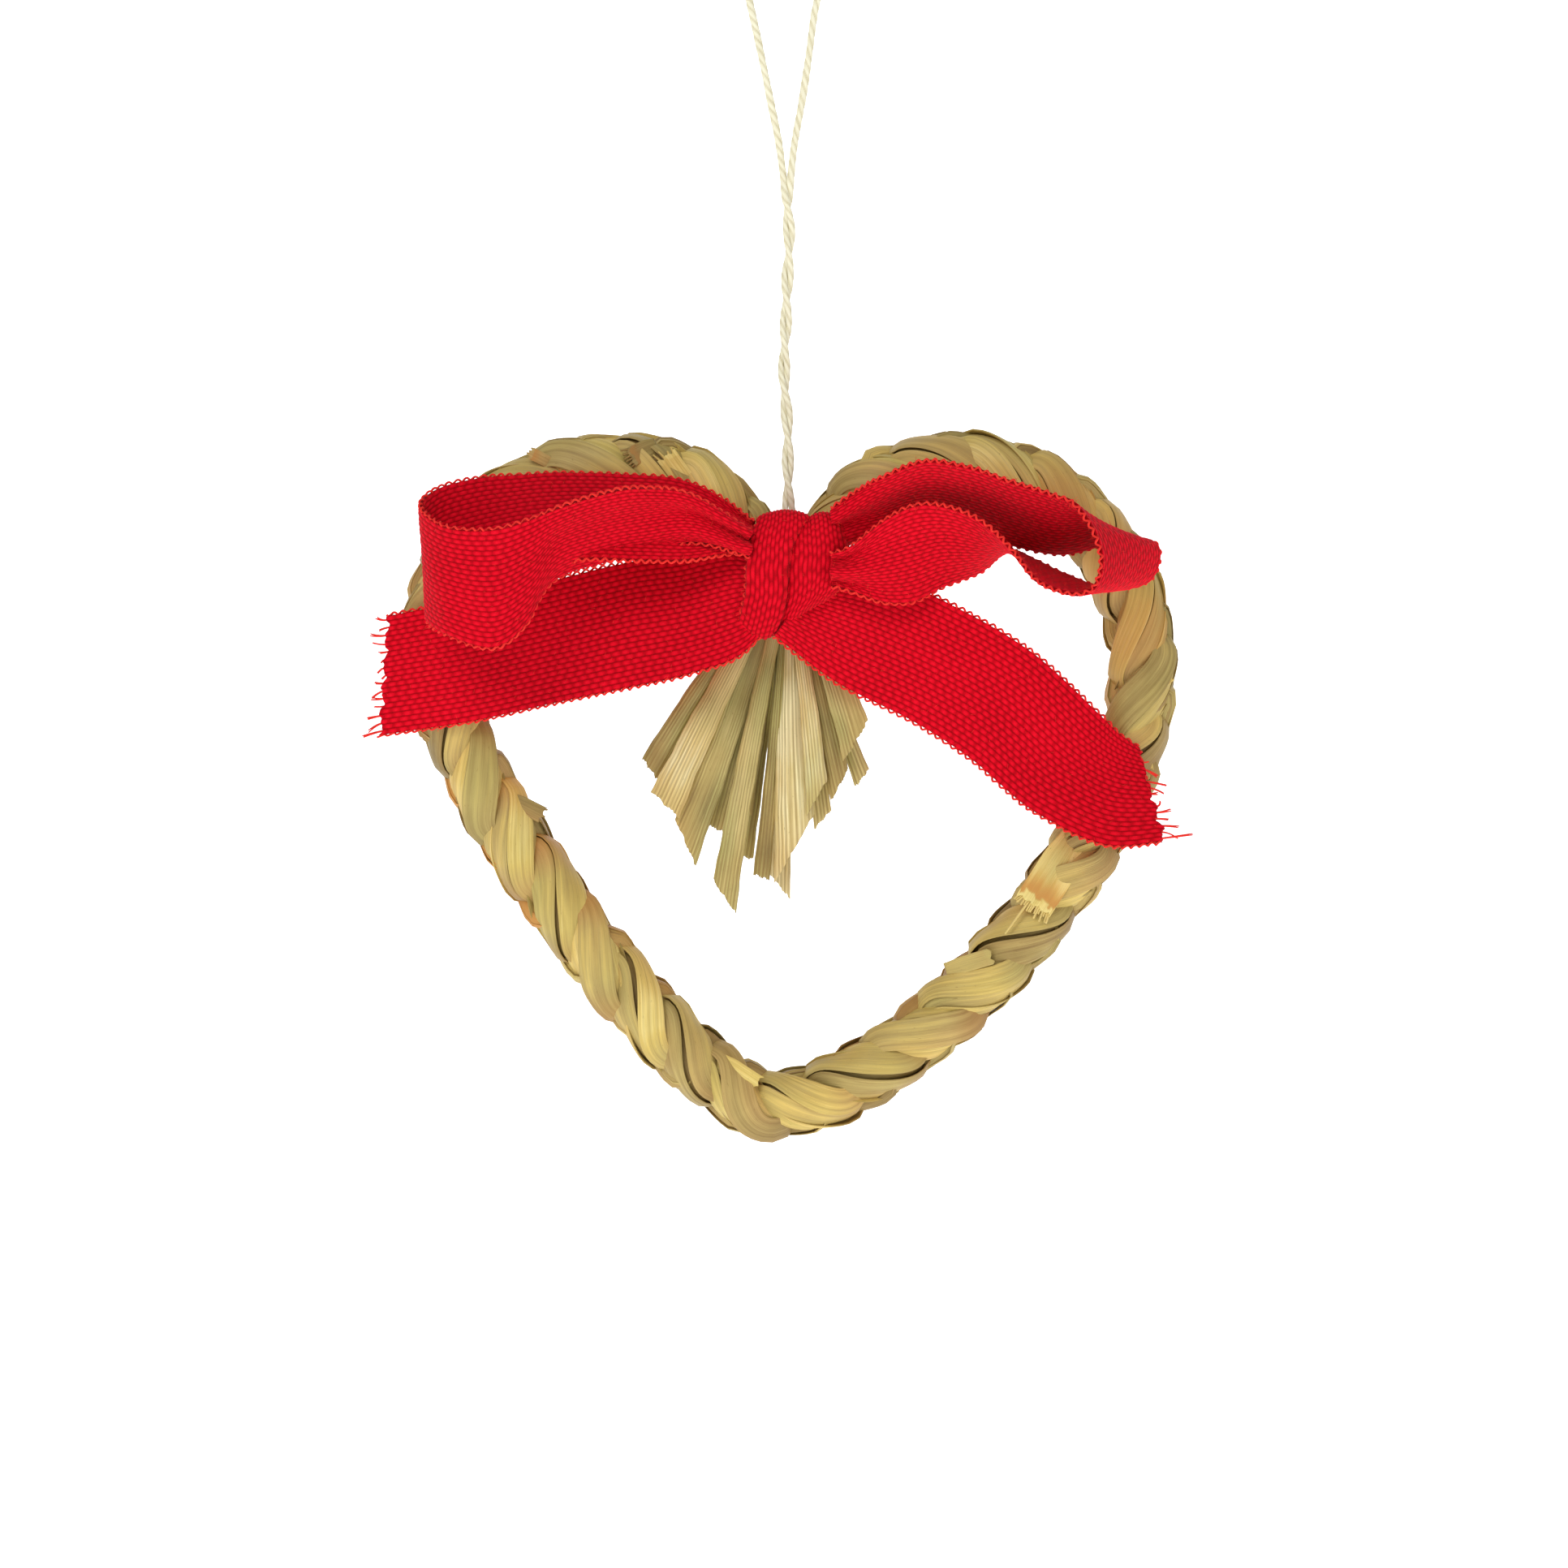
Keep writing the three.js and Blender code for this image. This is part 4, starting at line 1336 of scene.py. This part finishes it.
@dataclass
class RibbonBow:
    """Two loops and two tails held by a knot, on a band that goes round the neck."""

    weave: Weave = field(default_factory=Weave)
    knot_gap: float = 0.3
    left_loop: tuple[Fold, ...] = (
        Fold(-2, 4.7, 4, (0, 0, 0.25)),
        Fold(1, 4.7, 5.2, (0, 0.15, 0.4)),
        Fold(6, 5.6, 6, (0, 0.35, 0.62)),
        Fold(12, 6.6, 6.4, (0, 0.5, 0.7)),
        Fold(21, 7.2, 6.6, (0, 0.56, 0.72)),
        Fold(28, 7, 5.8, (0, 0.45, 0.78)),
        Fold(34, 6.4, 4.4, (0, 0.2, 0.88)),
        Fold(38.6, 7.2, 2.7, (0, 0.05, 0.92)),
        Fold(40, 10, 0.7, (0.03, -0.06, 0.89)),
        Fold(36.8, 14.6, -1.9, (0, -0.1, 0.84)),
        Fold(30.6, 16.2, -2.95, (0, -0.1, 0.92)),
        Fold(26.5, 15.8, -0.9, (-0.05, -0.15, 0.82)),
        Fold(23, 14.8, 2.6, (-0.1, -0.35, 0.58)),
        Fold(16.6, 12.6, 5, (-0.08, -0.42, 0.55)),
        Fold(11.6, 10.9, 6, (-0.05, -0.35, 0.48)),
        Fold(6, 9.2, 6.2, (0, -0.2, 0.36)),
        Fold(-1.5, 6.8, 3.2, (0, 0, 0.2)),
    )
    right_loop: tuple[Fold, ...] = (
        Fold(-2, 5.2, 5.2, (0, -0.1, 0.3)),
        Fold(1, 5.6, 6.6, (0, -0.3, 0.36)),
        Fold(4.5, 6.7, 7.8, (-0.05, -0.55, 0.42)),
        Fold(10.2, 8, 9.6, (-0.05, -0.75, 0.46)),
        Fold(15.4, 9, 8.7, (0, -0.84, 0.46)),
        Fold(21, 9.6, 6.9, (-0.03, -0.87, 0.45)),
        Fold(27, 10.6, 5.3, (-0.1, -0.9, 0.4)),
        Fold(31.5, 11.4, 5.4, (-0.36, -0.87, 0.25)),
        Fold(35.1, 12, 3.7, (-0.52, -0.84, 0.06)),
        Fold(35.9, 12.1, 0.9, (-0.5, -0.84, -0.03)),
        Fold(34.8, 12, -2.2, (-0.46, -0.84, -0.06)),
        Fold(31.2, 11.7, -3.2, (-0.3, -0.86, -0.07)),
        Fold(26.9, 10.8, -1.9, (-0.14, -0.88, -0.14)),
        Fold(23.8, 9.8, -0.1, (-0.05, -0.88, -0.16)),
        Fold(20.6, 8.8, 2.3, (0, -0.86, 0)),
        Fold(17.4, 8.3, 2.6, (0, -0.8, 0.33)),
        Fold(12.2, 8.1, 2.7, (0, -0.6, 0.61)),
        Fold(8.6, 8.1, 1.8, (0, -0.4, 0.74)),
        Fold(5, 7.9, 0.9, (0, -0.25, 0.65)),
        Fold(0, 7.4, -0.2, (0, -0.05, 0.32)),
        Fold(-2, 7, -0.2, (0, 0, 0.25)),
    )
    left_tail: tuple[Fold, ...] = (
        Fold(-4, 4.6, -3, (0, 0, 0.5)),
        Fold(0, 4.6, -4, (0.06, 0.2, 0.86)),
        Fold(7, 3.6, -5.9, (0.1, 0.38, 0.95)),
        Fold(14, 2.6, -7.1, (0.08, 0.3, 1)),
        Fold(24, 1.9, -9.3, (0.04, 0.05, 0.98)),
        Fold(34, 1.7, -11.6, (0, 0, 0.98)),
        Fold(46, 2.5, -13.7, (-0.06, 0.05, 0.96)),
    )
    right_tail: tuple[Fold, ...] = (
        Fold(-6.5, 4.9, -4.6, (0.35, 0.1, 0.5)),
        Fold(2, 2.9, -7.8, (0.42, 0, 0.83)),
        Fold(12, 1.9, -12.5, (0.42, 0, 0.88)),
        Fold(20, 1.7, -17.5, (0.5, 0, 0.85)),
        Fold(28.6, 2.5, -25, (0.5, 0.1, 0.8)),
        Fold(34.2, 4.1, -28.3, (0.12, 0.32, 0.88)),
        Fold(39.4, 5.5, -29, (-0.2, 0.5, 0.74)),
    )

    def __post_init__(self) -> None:
        """Reads the places of the knot and of the plait's front from the frame."""
        low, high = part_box("ribbon_knot")
        self.knot_low = (np.array(low) - NECK) / MM
        self.knot_high = (np.array(high) - NECK) / MM
        self.knot_x = (self.knot_low[0] + self.knot_high[0]) / 2
        self.knot_half = (self.knot_high[0] - self.knot_low[0]) / 2
        strands = [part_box(f"plait_strand_{number}")[0].y for number in (1, 2, 3)]
        self.plait_front = min(strands) / MM

    def stretch(self, name: str, folds: tuple[Fold, ...], side: Side, pleats: float,
                ragged: float, seed: int) -> RibbonPiece:
        """Lays a stretch of ribbon from the knot's side.

        Args:
            name: the piece's name.
            folds: the places that it passes.
            side: the side of the knot.
            pleats: how many pleats it is gathered in at the knot.
            ragged: how uneven its cut end is, in millimetres.
            seed: picks its unevenness.

        Returns:
            The stretch.
        """
        start = self.knot_half + self.knot_gap
        width = self.weave.width
        rows = [[self.knot_x + side * (start + fold.out), self.plait_front - fold.forward, fold.z,
                 side * fold.edge[0] * width, fold.edge[1] * width, fold.edge[2] * width]
                for fold in folds]
        line = Line.through(np.array(rows))
        across = self.weave.across()
        count = round(line.length / self.weave.step)
        tidy = line.length - ragged * (0.5 + 0.5 * waver(seed, across, 0.21))
        distance = np.linspace(0, 1, count)[:, None] * tidy
        placed = line.at(distance)
        centre, edge = placed[..., :3], placed[..., 3:6]
        along = unit(np.gradient(centre, axis=0))
        normal = unit(np.cross(along, edge))
        share = np.linalg.norm(edge, axis=-1) / width
        fold_depth = 0.17 * width / pleats * np.clip(0.9 - share, 0, 1) ** 1.5
        spread = across - 0.5
        wave = np.sin(TURN * pleats * across + 0.7 * side + 0.3 * np.sin(distance / 5))
        taper = np.clip(1.15 - np.abs(2 * spread) ** 4, 0.1, 1)
        sway = 0.16 * waver(seed + 1, distance + across * 9, 27.0)
        middle = centre + edge * spread[:, None] + normal * (
            fold_depth * wave * taper + sway)[..., None]
        return RibbonPiece(name, self.weave, middle, distance, cut=ragged > 0, seed=seed)

    def add_sheet(self, piece: RibbonPiece, node: str, fuzz: int,
                  finishes: tuple[bpy.types.Material, bpy.types.Material]) -> None:
        """Args:
            piece: the stretch.
            node: the CAD node that it stands for.
            fuzz: how many loose fibres stand off each face.
            finishes: the woven finish and the edges' finish.
        """
        piece.fuzz = fuzz
        made = piece.build(*finishes)
        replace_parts(made, node)
        length = float(piece.along.max() - piece.along.min())
        log.info("%s: ribbon %.0f mm long", piece.name, length)

    def knot(self) -> RibbonPiece:
        """The wrap that makes the knot: a full left fold lying over the right one."""
        low, high = self.knot_low, self.knot_high
        across = self.weave.across()
        rows = 230
        turn = (TURN * np.arange(rows) / rows)[:, None]
        drop = 0.5 - 0.5 * np.cos(turn)
        share = across
        left = np.interp(drop, [0, 0.3, 0.5, 1], [-3.7, -4.9, -5.4, -6.2])
        right = np.interp(drop, [0, 0.25, 0.4, 0.6, 0.8, 1], [6.2, 7.1, 7.6, 7.7, 7.2, 5.4])
        crease = np.interp(drop, [0, 0.15, 0.35, 0.6, 1], [0.62, 0.52, 0.42, 0.38, 0.41])
        left_top = np.sin(math.pi * np.clip(share / 0.64, 0, 1)) ** 0.6
        right_top = np.sin(math.pi * np.clip((share - 0.64) / 0.36, 0, 1)) ** 0.6
        top = 6.3 + 1.1 * left_top + 0.7 * right_top
        bottom = np.interp(share, [0, 0.12, 0.27, 0.42, 0.72, 0.9, 1],
                           [-7.2, -8.3, -8.8, -7.9, -5.2, -4.2, -3.2])
        x = left + (right - left) * share
        middle_z, half_z = (top + bottom) / 2, (top - bottom) / 2
        cosine, sine = np.cos(turn), np.sin(turn)
        z = middle_z + half_z * np.sign(cosine) * np.abs(cosine) ** 0.8
        to_crease = share - crease
        step = 1 / (1 + np.exp(to_crease * 110))
        left_hump = np.sin(math.pi * np.clip(share / (crease + 0.1), 0, 1)) ** 0.5
        right_share = np.clip((share - crease + 0.03) / (1 - crease + 0.03), 0, 1)
        right_hump = np.sin(math.pi * right_share) ** 0.5
        hump = step * (0.6 + 0.5 * left_hump) + (1 - step) * (0.02 + 0.88 * right_hump)
        front_y, back_y = low[1] + 0.4, high[1] - 0.5
        middle_y, half_y = (front_y + back_y) / 2, (back_y - front_y) / 2
        face = np.where(sine > 0, hump, 0.9)
        y = middle_y - half_y * np.sign(sine) * np.abs(sine) ** 0.55 * face
        x = x + 0.35 * np.sin(turn * 2 + 1.0) * (share - 0.5)
        middle = np.stack(np.broadcast_arrays(x, y, z), axis=-1)
        middle = middle + 0.1 * np.stack([
            waver(7, z * 1.0, 9.0), waver(8, x + z, 7.0), waver(9, x, 9.0)], axis=-1)
        around = np.linalg.norm(np.diff(middle[:, middle.shape[1] // 3], axis=0), axis=1).sum()
        beads = round(around / self.weave.bead)
        along = np.broadcast_to(turn / TURN * beads * self.weave.bead, middle.shape[:2])
        return RibbonPiece("ribbon_knot_wrap", self.weave, middle, along, looped=True, seed=301)

    def band(self) -> RibbonPiece:
        """The gathered band round the neck, behind the knot."""
        low, high = (np.array(corner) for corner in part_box("ribbon_neck_band"))
        low, high = (low - NECK) / MM, (high - NECK) / MM
        across = self.weave.across()
        half = (high - low)[:2] / 2
        around = math.pi * (half[0] + half[1])
        beads = round(around / self.weave.bead)
        rows = round(around / self.weave.step)
        turn = -(TURN * np.arange(rows) / rows)[:, None]
        pleat = 0.6 * np.sin(TURN * 4 * across + 0.4 * np.sin(turn * 2))
        squeeze = 1 + 0.1 * np.cos(turn * 3 + 1)
        middle_z = (low[2] + high[2]) / 2 + 0.25 * np.sin(turn * 2)
        z = middle_z + (high[2] - low[2]) * 0.48 * (2 * across - 1) * squeeze
        x = (half[0] + pleat) * np.cos(turn)
        y = (half[1] + pleat) * np.sin(turn)
        middle = np.stack(np.broadcast_arrays(x, y, z), axis=-1)
        along = np.broadcast_to(-turn / TURN * beads * self.weave.bead, middle.shape[:2])
        return RibbonPiece("ribbon_neck_wrap", self.weave, middle, along, looped=True, seed=401)

    def build(self, cloth: bpy.types.Material, edging: bpy.types.Material) -> None:
        """Makes the whole bow."""
        finishes = (cloth, edging)
        self.add_sheet(self.knot(), "ribbon_knot", 260, finishes)
        self.add_sheet(self.band(), "ribbon_neck_band", 60, finishes)
        left = self.stretch("ribbon_left_loop", self.left_loop, Side.LEFT, 1.5, 0, 501)
        self.add_sheet(left, "ribbon_loop_left", 420, finishes)
        right = self.stretch("ribbon_right_loop", self.right_loop, Side.RIGHT, 1.5, 0, 601)
        self.add_sheet(right, "ribbon_loop_right", 420, finishes)
        tail = self.stretch("ribbon_left_tail", self.left_tail, Side.LEFT, 1.0, 0.7, 701)
        self.add_sheet(tail, "ribbon_tail_left", 260, finishes)
        tail = self.stretch("ribbon_right_tail", self.right_tail, Side.RIGHT, 1.0, 0.7, 801)
        self.add_sheet(tail, "ribbon_tail_right", 260, finishes)


# ------------------------------------------------------------------ studio


@dataclass
class Studio:
    """A straight front view in soft white light, over white paper."""

    view_height: float = -0.1156
    object_y: float = -0.008
    view_width: float = 0.20125
    focal: float = 120.0
    sensor: float = 36.0
    floor_height: float = -0.3
    floor_reach: float = 1.6
    sweep: float = 0.6

    def camera(self) -> None:
        """The camera, level with the middle of the ornament."""
        data = bpy.data.cameras.new("studio_camera")
        data.lens, data.sensor_width = self.focal, self.sensor
        camera = bpy.data.objects.new("studio_camera", data)
        away = self.view_width * self.focal / self.sensor
        camera.location = (0, self.object_y - away, self.view_height)
        camera.rotation_euler = (math.pi / 2, 0, 0)
        bpy.context.scene.collection.objects.link(camera)
        bpy.context.scene.camera = camera

    def area(self, name: str, place: Colour, size: float, power: float) -> None:
        """A square soft light that faces the ornament."""
        data = bpy.data.lights.new(name, "AREA")
        data.size, data.energy = size, power
        light = bpy.data.objects.new(name, data)
        light.location = place
        aim = light.location.copy()
        aim.z -= self.view_height
        light.rotation_euler = aim.to_track_quat("Z", "Y").to_euler()
        bpy.context.scene.collection.objects.link(light)

    def lights(self) -> None:
        """White surroundings, a large light from the upper left and a smaller from the right."""
        world = bpy.data.worlds.new("studio_world")
        bpy.context.scene.world = world
        world.use_nodes = True
        background = world.node_tree.nodes["Background"]
        background.inputs["Color"].default_value = (1, 1, 1, 1)
        background.inputs["Strength"].default_value = 0.42
        self.area("key_light", (-0.35, -0.75, 0.45), 0.45, 3.8)
        self.area("fill_light", (0.7, -0.5, 0.0), 0.5, 0.9)
        view = bpy.context.scene.view_settings
        view.view_transform = "Standard"

    def paper(self, finish: bpy.types.Material) -> None:
        """A sheet of paper that runs back along the floor and sweeps up."""
        side = np.linspace(-2.2, 2.2, 9)
        bend = np.linspace(0, math.pi / 2, 13)
        run = [(-1.2, self.floor_height), (0.4, self.floor_height)]
        run += [(self.floor_reach - self.sweep + self.sweep * math.sin(a),
                 self.floor_height + self.sweep * (1 - math.cos(a))) for a in bend]
        run.append((self.floor_reach, 2.4))
        points = [(x, y, z) for y, z in run for x in side]
        wide = len(side)
        faces = [(r * wide + c, r * wide + c + 1, (r + 1) * wide + c + 1, (r + 1) * wide + c)
                 for r in range(len(run) - 1) for c in range(wide - 1)]
        mesh = bpy.data.meshes.new("studio_paper")
        mesh.from_pydata(points, [], faces)
        mesh.shade_smooth()
        mesh.materials.append(finish)
        paper = bpy.data.objects.new("studio_paper", mesh)
        bpy.context.scene.collection.objects.link(paper)

    def build(self, finish: bpy.types.Material) -> None:
        """Sets up the camera, the lights and the paper."""
        self.camera()
        self.lights()
        self.paper(finish)


def main() -> None:
    """Builds the ornament piece by piece and reports each one."""
    logging.basicConfig(level=logging.INFO, format="%(name)s: %(message)s")
    Studio().build(PaperFinish("studio_paper").material())
    twine = YarnFinish("twine_yarn", srgb(238, 234, 208), srgb(196, 184, 140)).material()
    TwineHanger().build(twine)
    plaited = StrawFinish(
        "plaited_straw", yellow=srgb(214, 186, 100), pale=srgb(230, 208, 130))
    Plait().build(plaited.material())
    cut = StrawFinish(
        "cut_straw", srgb(132, 116, 66), srgb(184, 172, 106), srgb(222, 202, 136),
        srgb(242, 230, 176), moss=srgb(166, 168, 94), tan=srgb(222, 178, 104))
    StrawFan().build(cut.material())
    thread = YarnFinish("binding_yarn", srgb(214, 198, 150), srgb(150, 130, 84)).material()
    NeckBinding().build(thread)
    cloth = RibbonFinish("ribbon_cloth").material()
    # The edging's own lighter orange-red, with the same painted shade and painted highlight on its
    # loops.
    edging = RibbonFinish(
        "ribbon_edging", srgb(160, 8, 12), srgb(222, 28, 34), srgb(240, 66, 52)).material()
    RibbonBow().build(cloth, edging)


if __name__ == "__main__":
    main()
